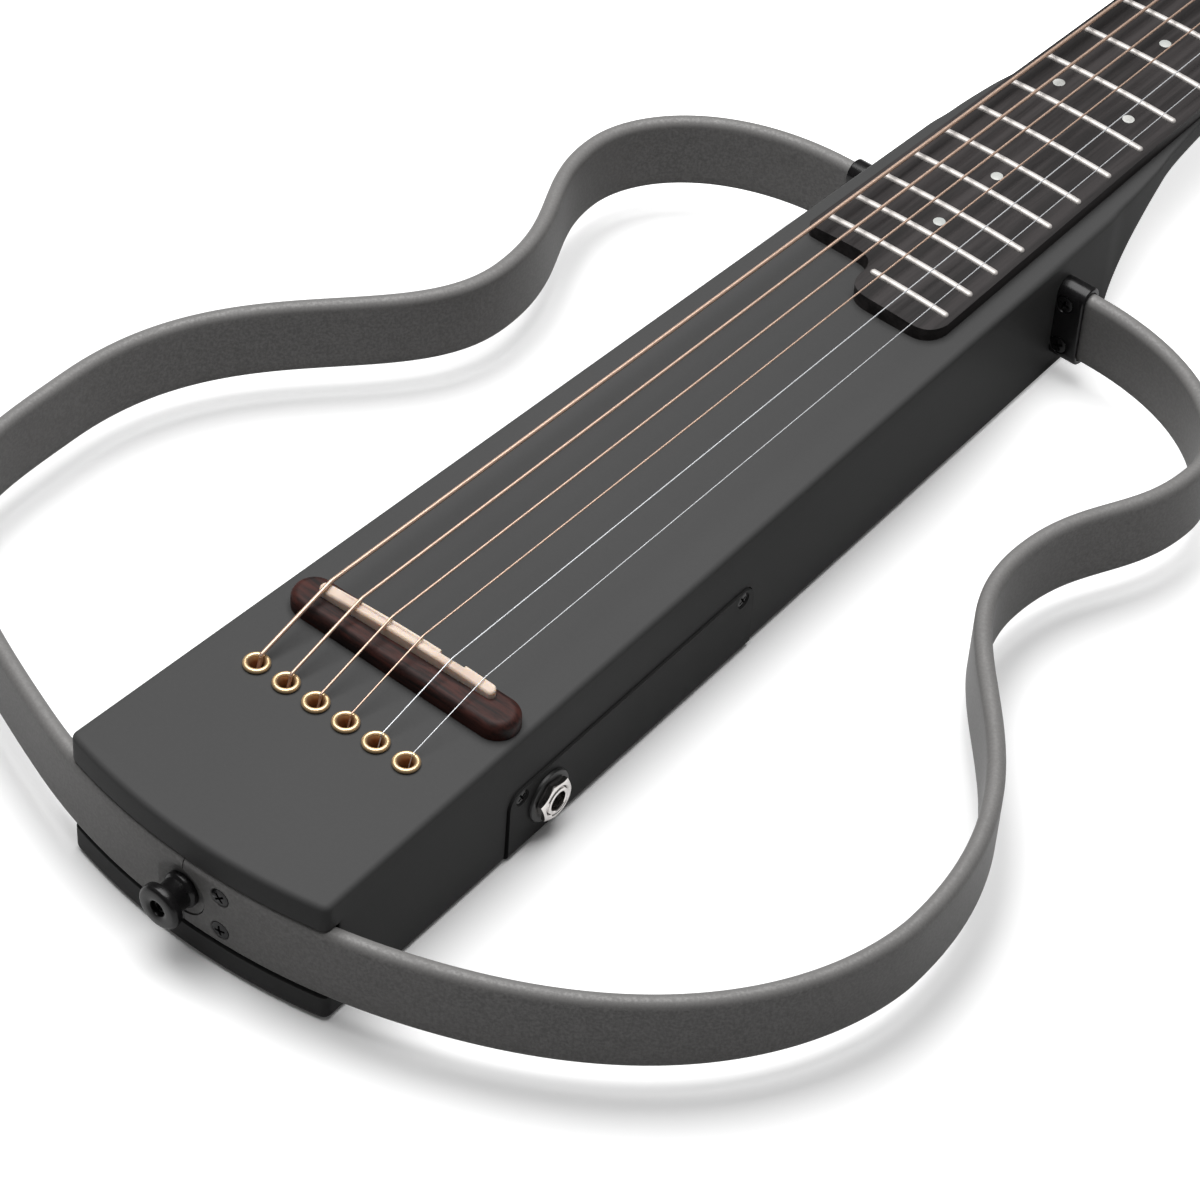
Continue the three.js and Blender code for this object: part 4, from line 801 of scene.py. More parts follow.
# %% Tube frames
TUBE_R = FRAME_R - TUBE_THICK / 2
SHOULDER_Y = 270.7
ROOT_IN, ELBOW_OUT, TAIL_REACH = 9, 11.2, 66
TREBLE = ((116.3, 227.9), (98.4, 160.9), (162.9, 25.8)), (
    (0.65, 0.43), (0.43, 0.475), (0.365, 0.585), (0.13, 0.985))
BASS = ((117.0, 221.7), (98.4, 154.7), (161.5, 25.8)), (
    (0.63, 0.475), (0.39, 0.48), (0.335, 0.545), (0.5, 1.075))


def tube_line(shape, reach):
    """The centreline in plan, through the elbow, the widest place of the upper bout, the
    waist, the widest place of the lower bout and the foot of the tail's arc. A handle is
    its share of the way from knot to knot, along X at the elbow, along Y at the knots
    between and along the arc at the foot. The line ends on the arc, `reach` before x = 0."""
    knots, shares = shape
    half = body_half(SHOULDER_Y)
    bend = math.asin(TAIL_REACH / TUBE_R)
    foot = (TAIL_REACH, TAIL_CENTRE - TUBE_R * math.cos(bend))
    knots = np.array([(half + ELBOW_OUT, SHOULDER_Y), *knots, foot])
    line = [[(half - ROOT_IN, SHOULDER_Y)], knots[:1]]
    for k, (a, d, share, steps) in enumerate(zip(knots, knots[1:], shares, (40, 40, 56, 60))):
        way = d - a
        leave = share[0] * way * ([0, 1] if k else [1, 0])
        arrive = share[1] * way * [0, 1]
        if k == 3:
            arrive = share[1] * way[0] * np.array([math.cos(bend), math.sin(bend)])
        line.append(bezier(a, a + leave, d - arrive, d, steps)[1:])
    turn = np.linspace(bend, reach / TUBE_R, 44)[1:]
    line.append(np.stack([TUBE_R * np.sin(turn), TAIL_CENTRE - TUBE_R * np.cos(turn)], -1))
    return np.vstack(line)


def oval(tall, thick, steps=12):
    """The flat oval section as (across, up): two half circles and the flats between."""
    cap = arc(thick / 2, 0, 180, steps)
    rise = tall / 2 - thick / 2
    flat = np.column_stack([np.full(6, -thick / 2), np.linspace(rise, -rise, 8)[1:-1]])
    return np.vstack([cap + [0, rise], flat, -(cap + [0, rise]), -flat])


def tube_grid(shape, side, reach):
    """The section stands upright on every point of the plan line, square to it."""
    line = tube_line(shape, reach)
    normal = -outward(line)
    section = oval(TUBE_TALL, TUBE_THICK)
    P = np.empty((len(line), len(section), 3))
    P[:, :, :2] = line[:, None] + normal[:, None] * section[None, :, :1]
    P[:, :, 2] = MID + section[:, 1]
    return P * [side, 1, 1]


def at_tail(x, out=0.0, z=MID):
    """Stands a piece made along Z on the tubes' outer face at the tail, pointing out."""
    face = TAIL_CENTRE - math.sqrt(FRAME_R ** 2 - x * x)
    return at(x, face - out, z, turn_z=math.degrees(math.asin(x / TAIL_R)), turn_x=90)


def sink_tool(radius, shank, matrix):
    """A countersunk hole, a little wider than its screw."""
    return turned_piece("sink_tool", [
        (0, -14), (shank + 0.3, -14), (shank + 0.3, shank - radius - 0.3), (radius + 0.25, -0.35),
        (radius + 0.45, 0.02), (radius + 0.45, 3), (0, 3)], black_rubber, matrix, 40)


SPLIT, TONGUE = 0.9, 8.3
FRAME_SCREW, TAIL_SCREW_X, TAIL_SCREW_Z = (2.9, 1.5), 14, 6.75
TAIL_SCREWS = [at_tail(TAIL_SCREW_X, 0, MID + end * TAIL_SCREW_Z) for end in (-1, 1)]
treble = grid_piece("treble_tube", tube_grid(TREBLE, 1, SPLIT), tube_finish)
carve(treble, [rod_tool(TONGUE + GAP, -3.3, 5, at_tail(0), 72)]
      + [sink_tool(*FRAME_SCREW, spot) for spot in TAIL_SCREWS])
bass = grid_piece("bass_tube", tube_grid(BASS, -1, GAP - SPLIT), tube_finish)
tongue = turned_piece("tongue_tool", [
    (0, -3), (TONGUE, -3), (TONGUE, -0.5), (TONGUE - 0.12, -0.16), (TONGUE - 0.4, 0), (0, 0)],
    tube_finish, at_tail(0), 72)
carve(bass, [tongue], "UNION")
dish = turned_piece("dish_tool", [
    (0, -1.2), (6.2, -1.2), (6.9, -1.05), (9.1, -0.12), (9.6, 0.05), (12, 0.3), (12, 3), (0, 3)],
    tube_finish, at_tail(0), 72)
carve(bass, [dish])
shown(treble, "frame_treble")
shown(bass, "frame_bass")
for tube in (treble, bass):
    soften(tube, 0.25, 50.0, 2)
    print(tube.name, len(tube.data.polygons), "faces")

# %% [markdown]
# A black sleeve holds each tube at the shoulder. It is an upright oval carried along X:
# in along the bore, over a rounded lip, and back along the outside into the body.

# %% Shoulder sockets
SOCKET_REACH, SOCKET_LONG, SOCKET_GROWN, CORE = 10.0, 22.0, 1.8, -2.7
LIP_ROUND, SOCKET_SCREW_Z = 0.6, 8.5
SOCKET_OUT = body_half(SHOULDER_Y) + SOCKET_REACH


def socket(name, side):
    """An oval ring for each row of (distance outside the tube, place along X), from the
    closed inner end of the bore out over the lip and back."""
    inner = SOCKET_OUT - SOCKET_LONG
    lip = [(SOCKET_GROWN - LIP_ROUND * (1 - c), SOCKET_OUT - LIP_ROUND * (1 - s))
           for c, s in arc(1, 90, 0, 5)]
    rows = [(CORE, inner + 3), (GAP, inner + 3), (GAP, SOCKET_OUT - 0.2), (GAP + 0.2, SOCKET_OUT)]
    rows += lip + [(SOCKET_GROWN, inner), (CORE, inner)]
    P = []
    for grow, x in rows:
        ring = oval(TUBE_TALL + 2 * grow, TUBE_THICK + 2 * grow)
        P.append(np.column_stack([np.full(len(ring), side * x), SHOULDER_Y - ring[:, 0],
                                  MID + ring[:, 1]]))
    return grid_piece(name, np.array(P), black_plate)


def socket_screws(side):
    """Where a socket's two screws enter it, on the side towards the tail."""
    x = side * (body_half(SHOULDER_Y) + SOCKET_REACH / 3)
    face = SHOULDER_Y - TUBE_THICK / 2 - GAP - 1.5
    return [at(x, face, MID + end * SOCKET_SCREW_Z, turn_x=90) for end in (-1, 1)]


for side, name in ((1, "treble"), (-1, "bass")):
    sleeve = socket("sleeve_" + name, side)
    carve(sleeve, [sink_tool(*FRAME_SCREW, spot) for spot in socket_screws(side)])
    shown(sleeve, "socket_" + name)
print("sockets reach out to x =", round(SOCKET_OUT, 1), "mm")

# %% [markdown]
# The small screws share one shape: a countersunk head with a cross recess, cut by two
# tapered bars at a right angle. Two hold the tubes at the tail, two each socket and four
# the cover, each turned as it was left by hand.

# %% Cross-head screws
COVER_SCREW, COVER_SCREW_INSET = (2.5, 1.1), 3.4
COVER_SCREW_Y = {"front": COVER_Y[0] + 5.4, "rear": COVER_Y[1] - 5.4}


def cover_screw_spots(y, out):
    """Places of one side and one back screw, that far outside the body's faces."""
    return (SIDE @ at(out, y, COVER_TALL - COVER_SCREW_INSET, turn_y=90),
            SIDE @ at(-COVER_REACH + COVER_SCREW_INSET, y, -out, turn_x=180))


def cross_screw(name, node, size, length, matrix, left_at):
    """A turned head and shank, its cross left at an angle in degrees. The cross's arms and
    depth are shares of the head's radius, and its walls lean in with depth."""
    radius, shank = size
    e = 0.12 * radius
    profile = [(0, -length), (shank, -length), (shank, shank - radius), (radius, -e),
               (radius, -e * 0.4), (radius - e, 0), (0, 0.08 * radius)]
    place = matrix @ spin(left_at, "Z")
    piece = turned_piece(name, profile, black_plate, place, 32)
    bars = []
    for quarter in (0, 90):
        long, wide, deep = radius * 0.62, radius * 0.13, radius * 0.65
        mouth = np.array([(-long, -wide), (long, -wide), (long, wide), (-long, wide)])
        foot = mouth * [0.35, 0.6]
        P = stacked([(foot, -deep), (mouth, 0.0), (mouth * 1.02, 0.6)])
        bars.append(grid_piece("bar_tool", moved(P, place @ spin(quarter, "Z")), black_plate))
    carve(piece, bars)
    shown(piece, node)


for index, (level, left_at) in enumerate((("lower", 12), ("upper", 38))):
    cross_screw("tail_cross_" + level, "tail_screw_" + level, FRAME_SCREW, 11.0,
                TAIL_SCREWS[index], left_at)
    for name, side in (("treble", 1), ("bass", -1)):
        place = name + "_" + level
        cross_screw("socket_cross_" + place, "socket_screw_" + place, FRAME_SCREW, 3.4,
                    socket_screws(side)[index], left_at * 2)
for name, y in COVER_SCREW_Y.items():
    for face, spot, left_at in zip(("side", "back"), cover_screw_spots(y, 0), (30, 15)):
        place = face + "_" + name
        cross_screw("cover_cross_" + place, "cover_screw_" + place, COVER_SCREW, 6.0, spot,
                    left_at)

# %% [markdown]
# The strap button is turned: a base in the dish, a waisted neck and a domed head with a
# counterbore, where the clamp screw's hexagonal socket shows.

# %% Strap button and clamp screw
BUTTON_R, BUTTON_ROUND = 7.2, 1.5
dome = [(BUTTON_R - BUTTON_ROUND * (1 - c), 8.5 + BUTTON_ROUND * s) for c, s in arc(1, 0, 80, 8)]
button = turned_piece("button_turned", [
    (1.9, -0.9), (5.8, -0.9), (5.8, 0.5), (5.6, 0.9), (5.0, 1.5), (4.9, 2.2), (4.9, 5.2),
    (5.1, 5.8), (5.6, 6.2), (6.7, 6.45), (7.1, 6.75), (BUTTON_R, 7.3)] + dome + [
    (4.1, 10.1), (3.2, 9.95), (2.7, 9.6), (2.5, 9.0), (2.5, 5.5), (1.9, 5.5), (1.9, -0.9)],
    black_plate, at_tail(0), 72, 30.0)
shown(button, "strap_button", "button")
clamp = turned_piece("clamp_turned", [
    (0, -19.3), (1.4, -19.3), (1.6, -19.0), (1.6, 5.8), (2.2, 5.8), (2.2, 8.2), (1.9, 8.5),
    (0, 8.5)], black_plate, at_tail(0))
carve(clamp, [prism(arc(1.47, 0, 300, 5), 6.5, 9.5, at_tail(0))])
shown(clamp, "clamp_screw", "button")
print("strap button:", len(button.data.polygons), "faces")

# %% [markdown]
# The fingerboard is a crowned plank cut to its outline. Its end is stepped in a smooth
# cove, so that only the treble strings reach the last fret.

# %% Fingerboard
BOARD_END = fret_y(19) - 10.9
BOARD_STEP = fret_y(18) - 7.3


def board_outline():
    """The plan of the board's end: its treble corner rounded, a cove up to the step, and
    its bass corner rounded. The sides are left wide, as the plank has its own."""
    treble_x, bass_x = board_half(BOARD_END), -board_half(BOARD_STEP)
    step, cove, big, small = BOARD_STEP - BOARD_END, -3.0, 9, 2.25
    foot, fall, rise = (cove + big, BOARD_END), BOARD_STEP - step / 3, (cove, BOARD_END + step / 2)
    return np.vstack([
        [[30, SCALE - GAP], [40, 400], [40, BOARD_STEP], [treble_x, fall]],
        quadratic((treble_x, fall), (treble_x, BOARD_END), (treble_x - big, BOARD_END)),
        [foot],
        quadratic(foot, (cove, BOARD_END), rise),
        quadratic(rise, (cove, BOARD_STEP), (cove - step / 2, BOARD_STEP)),
        [[bass_x + small, BOARD_STEP]],
        quadratic((bass_x + small, BOARD_STEP), (bass_x, BOARD_STEP),
                  (bass_x, BOARD_STEP + small), 5),
        [[-40, BOARD_STEP + small], [-40, 400], [-30, SCALE - GAP]]])


def crowned_plank():
    """Rings across the board: its crowned top from side to side, and its flat underside."""
    share = np.linspace(1, -1, 25)
    rows = []
    for y in np.concatenate([[190.0, 206.0], np.linspace(210, 655, 60)]):
        x = share * board_half(y)
        top = np.column_stack([x, np.full(25, y), BOARD_TOP - crown_fall(x)])
        foot = np.array([[x[-1], y, DEPTH], [x[0], y, DEPTH]])
        rows.append(np.vstack([top, foot]))
    return np.array(rows)


plank = grid_piece("crowned_plank", crowned_plank(), board_wood)
carve(plank, [prism(board_outline(), DEPTH - 1, BOARD_TOP + 2, at(0, 0, 0))], "INTERSECT")
shown(soften(plank, 0.35), "fingerboard")
print("fingerboard:", len(plank.data.polygons), "faces; ends at", round(BOARD_END, 1), "mm")

# %% [markdown]
# Nineteen frets follow the crown. Each is a low half-ellipse bar whose height and width
# shrink in a quarter circle at its ends, which rounds them off. Dots of pearl lie level
# with the board: a pair at the octave and single ones elsewhere.

# %% Frets and dots
FRETS, FRET_INSET, FRET_END, LAST_FRET_LONG = 19, 2.0, 1.1, 30.0
FRET_HALF, FRET_TALL, FRET_DEEP = 1.15, 0.95, 0.8


def fret_grid(number):
    """Along the fret t runs end to end; across it the section is a half ellipse, a little
    squarer at its top. Within FRET_END of an end both shrink by the square root of
    1 - (1 - t) squared, with t the share of that stretch, and never quite to nothing."""
    y = fret_y(number)
    half = board_half(y) - FRET_INSET
    start = half - LAST_FRET_LONG if number == FRETS else -half
    ends = 1 - np.cos(np.linspace(0, math.pi / 2, 7))
    x = np.concatenate([start + FRET_END * ends, np.linspace(start + 2, half - 2, 21),
                        (half - FRET_END * ends)[::-1]])
    near = np.minimum(1, np.minimum(x - start, half - x) / FRET_END)
    swell = np.sqrt(np.maximum(0.0004, 1 - (1 - near) ** 2))[:, None]
    crown = arc(1.0, 0, 180, 12)
    crown[:, 1] **= 0.75
    section = np.vstack([crown * [FRET_HALF, FRET_TALL],
                         [[-FRET_HALF, -FRET_DEEP], [FRET_HALF, -FRET_DEEP]]])
    top = (BOARD_TOP - crown_fall(x))[:, None]
    return np.stack([np.broadcast_to(x[:, None], (len(x), len(section))),
                     y + section[:, 0] * swell, top + section[:, 1] * swell], -1)


frets = joined("fret_wires", fret_metal, [fret_grid(n) for n in range(1, FRETS + 1)])
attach(frets, "instrument")
DOTS = [(0, 3), (0, 5), (0, 7), (0, 10), (-13.85, 12), (13.85, 12), (0, 15), (0, 17)]
spots = []
for x, number in DOTS:
    y = (fret_y(number - 1) + fret_y(number)) / 2
    z = BOARD_TOP - float(crown_fall(x))
    disc = turned([(0.01, -1.0), (2.0, -1.0), (2.0, 0.0), (1.9, 0.05), (0.01, 0.07)], 40)
    spots.append(moved(disc, at(x, y, z, turn_y=math.degrees(math.asin(x / CROWN)))))
dots = joined("pearl_dots", dot_pearl, spots)
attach(dots, "instrument")
print("frets:", FRETS, "dots:", len(DOTS))

# %% [markdown]
# The bridge is a long capsule with a bullnose upper edge, slotted for the saddle. The
# saddle's top is crowned like the fingerboard and falls away towards the tail. A step in
# its front edge sets the b string's length.

# %% Bridge and saddle
BRIDGE_LONG, BRIDGE_WIDE, BRIDGE_TALL, BULLNOSE = 83, 13.8, 6, 2.7
BRIDGE_SPOT = at(2.1, -4.1, 0)
SADDLE_X, SADDLE_Y, SADDLE_LONG, SADDLE_THICK, SADDLE_SLANT = 1.1, -2.3, 64.1, 3.2, 1.9
SADDLE_TOP, SADDLE_FALL = DEPTH + 10.4, math.tan(math.radians(19))
NOTCH_HALF, NOTCH_DEEP = 4.5, 0.9
SADDLE_LINE = at(SADDLE_X, SADDLE_Y, 0,
                 turn_z=math.degrees(math.asin(SADDLE_SLANT / SADDLE_LONG)))


def capsule(length, width, steps=20):
    """A rectangle with half-circle ends, its long sides divided for a bent top."""
    reach = (length - width) / 2
    side = np.column_stack([np.linspace(reach, -reach, 26)[1:-1], np.full(24, width / 2)])
    right = arc(width / 2, -90, 90, steps) + [reach, 0]
    left = arc(width / 2, 90, 270, steps) - [reach, 0]
    return np.vstack([right, side, left, -side])


bridge = slab(capsule(BRIDGE_LONG, BRIDGE_WIDE), DEPTH + 0.03, DEPTH + BRIDGE_TALL, BULLNOSE,
              0.3, 12)
bridge = grid_piece("bridge_bar", moved(bridge, BRIDGE_SPOT), bridge_wood)
saddle_slot = capsule(SADDLE_LONG + GAP, SADDLE_THICK + GAP)
carve(bridge, [prism(saddle_slot, DEPTH + 1.4, DEPTH + 9, SADDLE_LINE)])
shown(bridge, "bridge")


def saddle_grid():
    """Rings of the capsule, up to a top whose edge is a quarter circle. The top drops by
    the crown's fall plus a steady slope towards the tail. That drop fades in over the
    saddle's height, from `low` up to where the edge begins."""
    edge, low = 0.7, DEPTH + 7
    rings = slab(capsule(SADDLE_LONG, SADDLE_THICK), DEPTH + 2.9, SADDLE_TOP, edge, 0.05, 8)
    x, y, z = rings[..., 0], rings[..., 1], rings[..., 2]
    drop = crown_fall(x + SADDLE_X) + (SADDLE_THICK / 2 - y) * SADDLE_FALL
    rings[..., 2] = z - drop * np.clip((z - low) / (SADDLE_TOP - edge - low), 0, 1)
    return moved(rings, SADDLE_LINE)


saddle = grid_piece("saddle_bar", saddle_grid(), saddle_bone, smooth=50.0)
notch_x = across(STRINGS.index("b"), SADDLE_PITCH) - SADDLE_X
notch = rounded_box(notch_x - NOTCH_HALF, notch_x + NOTCH_HALF,
                    SADDLE_THICK / 2 - NOTCH_DEEP, 4, 0.3, 3)
carve(saddle, [prism(notch, DEPTH + 6.9, DEPTH + 14, SADDLE_LINE)], smooth=50.0)
shown(saddle, "saddle")
print("saddle stands", round(SADDLE_TOP - DEPTH - BRIDGE_TALL, 1), "mm over the bridge")

# %% [markdown]
# The cover is an L of thin plate that wraps from the side to the back. It follows the
# rounded back edge of the body and stands a little proud of it, inside a fine seam.

# %% Electronics cover
COVER_ROUND, COVER_PROUD, COVER_IN = 2.6, 0.4, 2
JACK_Y, JACK_Z = 8.7, 13.9


def cover_profile():
    """The L in a plane across the guitar: (inwards from the side, up from the back)."""
    outer = arc(COVER_ROUND, -90, 0, 8) + [COVER_PROUD - COVER_ROUND, COVER_ROUND - COVER_PROUD]
    return np.vstack([[[-COVER_REACH, -COVER_PROUD]], outer, [
        [COVER_PROUD, 30], [-COVER_IN, 30], [-COVER_IN, COVER_IN], [-COVER_REACH, COVER_IN]]])


across_y = SIDE @ Matrix(((1, 0, 0, 0), (0, 0, 1, 0), (0, 1, 0, 0), (0, 0, 0, 1)))
cover = prism(cover_profile(), *COVER_Y, across_y, cover_finish, "cover_plate")
trim = rounded_box(*COVER_Y, -20, COVER_TALL, COVER_CORNER, 12)
carve(cover, [prism(trim, -60, 6, UPRIGHT)], "INTERSECT")
JACK = SIDE @ at(0, JACK_Y, JACK_Z, turn_y=90)
holes = [rod_tool(4.8, -5, 4, JACK)]
sink = [(0, -7), (1.4, -7), (1.4, -1.7), (2.8, -0.3), (2.8, 4), (0, 4)]
for y in COVER_SCREW_Y.values():
    for spot in cover_screw_spots(y, COVER_PROUD):
        holes.append(turned_piece("sink_tool", sink, black_rubber, spot, 32))
carve(cover, holes)
shown(soften(cover, 0.45), "electronics_cover")
print("cover:", len(cover.data.polygons), "faces")

# %% [markdown]
# The output jack sits low on the cover: a black washer, a nickel hexagonal nut whose
# corners are turned off, and the threaded end of the socket with its dark bore.

# %% Output jack
washer = turned_piece("jack_washer_ring", [
    (4.8, 0.15), (8.6, 0.15), (8.75, 0.3), (8.75, 0.9), (8.5, 1.35), (8.0, 1.58), (5.4, 1.6),
    (4.9, 1.5), (4.8, 1.3), (4.8, 0.15)], black_rubber, JACK, 64)
shown(washer, "jack_washer")
FLATS, NUT_LOW, NUT_HIGH = 12.4, 1.75, 4.2
corner = FLATS / math.sqrt(3)
jack_nut = turned_piece("jack_nut_hex", [
    (0, NUT_LOW), (corner - 0.7, NUT_LOW), (corner, NUT_LOW + 0.35), (corner, NUT_HIGH - 0.75),
    (FLATS / 2 - 0.1, NUT_HIGH - 0.05), (FLATS / 2 - 0.4, NUT_HIGH), (0, NUT_HIGH)],
    nickel_plate, JACK, 96, 25.0)
carve(jack_nut, [prism(arc(corner, 15, 315, 5), 0, 6, JACK)], "INTERSECT", 25.0)
bore = turned_piece("bore_tool", [(0, 0), (4.8, 0), (4.8, NUT_HIGH - 0.4), (5.3, NUT_HIGH + 0.1),
                                  (5.3, 7), (0, 7)], nickel_plate, JACK, 64)
carve(jack_nut, [bore], smooth=25.0)
shown(soften(jack_nut, 0.12, 30.0, 2), "jack_nut")
threads = [(4.5 - 0.22 * (k % 2), 1.0 + 0.35 * k) for k in range(10)]
jack = turned_piece("jack_barrel", [(0, -19.3), (6.6, -19.3), (6.6, -2.3), (4.5, -2.3), (4.5, 0.8)]
                    + threads + [(4.4, 4.4), (4.2, 4.5), (3.5, 4.5), (3.25, 4.3), (3.25, -16.2),
                                 (0, -16.2)], nickel_plate, JACK, 64)
shown(jack, "jack_socket")
print("jack parts: 3")

# %% [markdown]
# Ferrules are turned: a flange with a broad rounded rim, a wide funnel and a bore. Each
# string rises through one, leans on its rim and runs over saddle and nut to its post.

# %% Ferrules
rim = (arc(0.83, -35, 185, 26) * [1, 0.95] + [3.32, 0.68]).tolist()
funnel = [(1.7 + 0.78 * t ** 1.6, -3 + 3.6 * t) for t in np.linspace(0.97, 0, 14)]
ferrule = [(1.7, -12), (3, -12), (3, 0.05), (3.9, 0.1)] + rim + funnel + [(1.7, -12)]
for string, name in enumerate(STRINGS):
    ring = turned_piece("ferrule_ring_" + name, ferrule, gold_plate,
                        at_ferrule(string, DEPTH), 64, 50.0)
    shown(ring, "ferrule_" + name)
print("ferrules: 6")

# %% [markdown]
# A string is one tube along its route, with a small bend at each support. The frame of the
# tube is carried along without twist: each direction across it is the one before, less its
# part along the new direction. Each point keeps its distance along the wire, which the
# winding's bands follow.

# %% Strings
NUT_TOP = BOARD_TOP + 2.1
POST_WAIST, FIRST_TURN, TURN_SPACE = 2.4, 7.6, 0.5
POST_ROW, POST_PITCH, POST_INSET = 47.0, 38.0, 10.5
TUNERS = [(-1, 0), (-1, 1), (-1, 2), (1, 2), (1, 1), (1, 0)]


def tuner_spot(string):
    """Place of a post on the blade: its side, its way along and its way across. Three
    rows on each side take the strings from the outside in."""
    side, row = TUNERS[string]
    along = POST_ROW + POST_PITCH * row
    return side, along, side * (head_half(along) - POST_INSET)


def break_point(string):
    """Where the string leaves the saddle for the board."""
    x = across(string, SADDLE_PITCH)
    back = NOTCH_DEEP if STRINGS[string] == "b" else 0.0
    line = SADDLE_Y + (x - SADDLE_X) * SADDLE_SLANT / SADDLE_LONG
    z = SADDLE_TOP - float(crown_fall(x)) - back * SADDLE_FALL + GAP + GAUGES[string] / 2
    return (x, line + SADDLE_THICK / 2 - back, z)


def winding(string, steps=36):
    """Two turns down the post: a helix in the blade's own frame."""
    side, along, x = tuner_spot(string)
    wrap = POST_WAIST + GAP + GAUGES[string] / 2
    turn = np.linspace(0, 4 * math.pi, 2 * steps + 1)
    down = FIRST_TURN - (GAUGES[string] + TURN_SPACE) * turn / (2 * math.pi)
    across_post, along_post = x - side * wrap * np.cos(turn), along + wrap * np.sin(turn)
    return moved(np.column_stack([across_post, along_post, down]), HEAD)


def string_route(string):
    """Straight stretches from the ball end up through the ferrule, over its rim, the saddle
    and the nut, with a small quadratic bend at each corner, and then the winding."""
    r, x = GAUGES[string] / 2, across(string, FERRULE_PITCH)
    out = 2.75 - r - GAP
    corners = np.array([
        (x, FERRULE_Y, 7), (x, FERRULE_Y, DEPTH - 12), (x, FERRULE_Y + (1.7 - r) / 2, DEPTH - 3),
        (x, FERRULE_Y + out, DEPTH + 1.0), (x, FERRULE_Y + out, DEPTH + 1.5 + r + GAP),
        break_point(string), (across(string, NUT_PITCH), NUT_END - GAP, NUT_TOP)])
    turns = winding(string)
    line = np.vstack([corners, turns[:1]])
    points = [line[:1]]
    for a, b, c in zip(line[:-2], line[1:-1], line[2:]):
        reach = min(0.9, np.linalg.norm(b - a) / 2, np.linalg.norm(c - b) / 2)
        start = b + (a - b) / np.linalg.norm(a - b) * reach
        end = b + (c - b) / np.linalg.norm(c - b) * reach
        points.append(np.vstack([start, quadratic(start, b, end, 5)]))
    return np.vstack(points + [turns])


def tube_along(line, radius, steps=14):
    """A round tube, and the distance along it at every point."""
    ahead = np.gradient(line, axis=0)
    ahead /= np.linalg.norm(ahead, axis=1, keepdims=True)
    cross = np.empty_like(line)
    cross[0] = np.cross(ahead[0], (1, 0, 0))
    for i in range(1, len(line)):
        cross[i] = cross[i - 1] - ahead[i] * np.dot(cross[i - 1], ahead[i])
        cross[i] /= np.linalg.norm(cross[i])
    other = np.cross(ahead, cross)
    ring = arc(radius, 0, 360, steps)[:-1]
    P = (line[:, None] + ring[None, :, :1] * cross[:, None] + ring[None, :, 1:] * other[:, None])
    far = np.concatenate([[0], np.cumsum(np.linalg.norm(np.diff(line, axis=0), axis=1))])
    return P, np.repeat(far, steps)


for string, name in enumerate(STRINGS):
    finish, slot = (wound_finish, "bronze_wire") if string < 4 else (plain_wire, "steel_wire")
    P, far = tube_along(string_route(string), GAUGES[string] / 2)
    ball = turned([(0.01, 4.7), (1.5, 4.7), (2, 5.1), (2, 8.3), (1.5, 8.7), (0.01, 8.7)], 24)
    wire = joined("wire_" + name, finish, [P, moved(ball, at_ferrule(string))], 60.0)
    field = wire.data.attributes.new("along", "FLOAT", "POINT")
    total = np.zeros(len(wire.data.vertices))
    total[:len(far)] = far * MM
    field.data.foreach_set("value", total)
    shown(wire, "string_" + name)
print("strings: 6, from", GAUGES[0], "to", GAUGES[-1], "mm")

# %% [markdown]
# The nut is a bone bar with a slot for each string, a little wider than the string and
# round at its bottom.

# %% Nut
nut_half = board_half(SCALE)
nut = prism(rounded_box(-nut_half, nut_half, SCALE, NUT_END - GAP, 0.6), DEPTH, NUT_TOP,
            at(0, 0, 0), saddle_bone, "nut_bar")
cuts = []
for string in range(6):
    room, x = GAUGES[string] / 2 + GAP, across(string, NUT_PITCH)
    ring = np.vstack([[[room, 3]], arc(room, 0, -180, 10), [[-room, 3]]])
    cuts.append(prism(ring, -8, 1, at(x, SCALE - 1, NUT_TOP, turn_x=90)))
carve(nut, cuts)
shown(soften(nut, 0.3), "nut")
print("nut:", len(nut.data.polygons), "faces")

# %% [markdown]
# A tuning machine is a turned post in a bushing, a rounded housing behind the blade and a
# flat grip on a shaft that leaves to the side. The shaft passes the post on the nut's side,
# as a worm does. Pieces inside the body keep their solid shape and only get a finish.

# %% Tuning machines
HOUSING_TOP = -HEAD_THICK - GAP
HOUSING_TALL, HOUSING_EDGE, HOUSING_HALF, HOUSING_REACH = 10.4, 1.2, (7.5, 8.5), 5.4
POST_R, SHAFT_R = 3.0, 2.0
SHAFT_Y, SHAFT_Z = -(POST_R + SHAFT_R + 3 * GAP), HOUSING_TOP - 5.2
GRIP_START, GRIP_LONG, GRIP_WIDE, GRIP_HALF, GRIP_EDGE = 13.5, 15.0, 15.5, 3.5, 1.7


def grip_outline(side):
    """A flat kidney grip: two cubic sides and a full crown at its end."""
    start, end, half = GRIP_START, GRIP_START + GRIP_LONG, GRIP_WIDE / 2
    corner = (end - 3, -half * 0.8)
    low = bezier((start, -half * 0.35), (start, -half), (start + 5.25, -half), corner, 12)
    half_line = np.vstack([low, quadratic(corner, (end, -half * 0.35), (end, 0), 8)])
    return np.vstack([half_line, (half_line * [1, -1])[::-1][1:]]) * [side, 1]


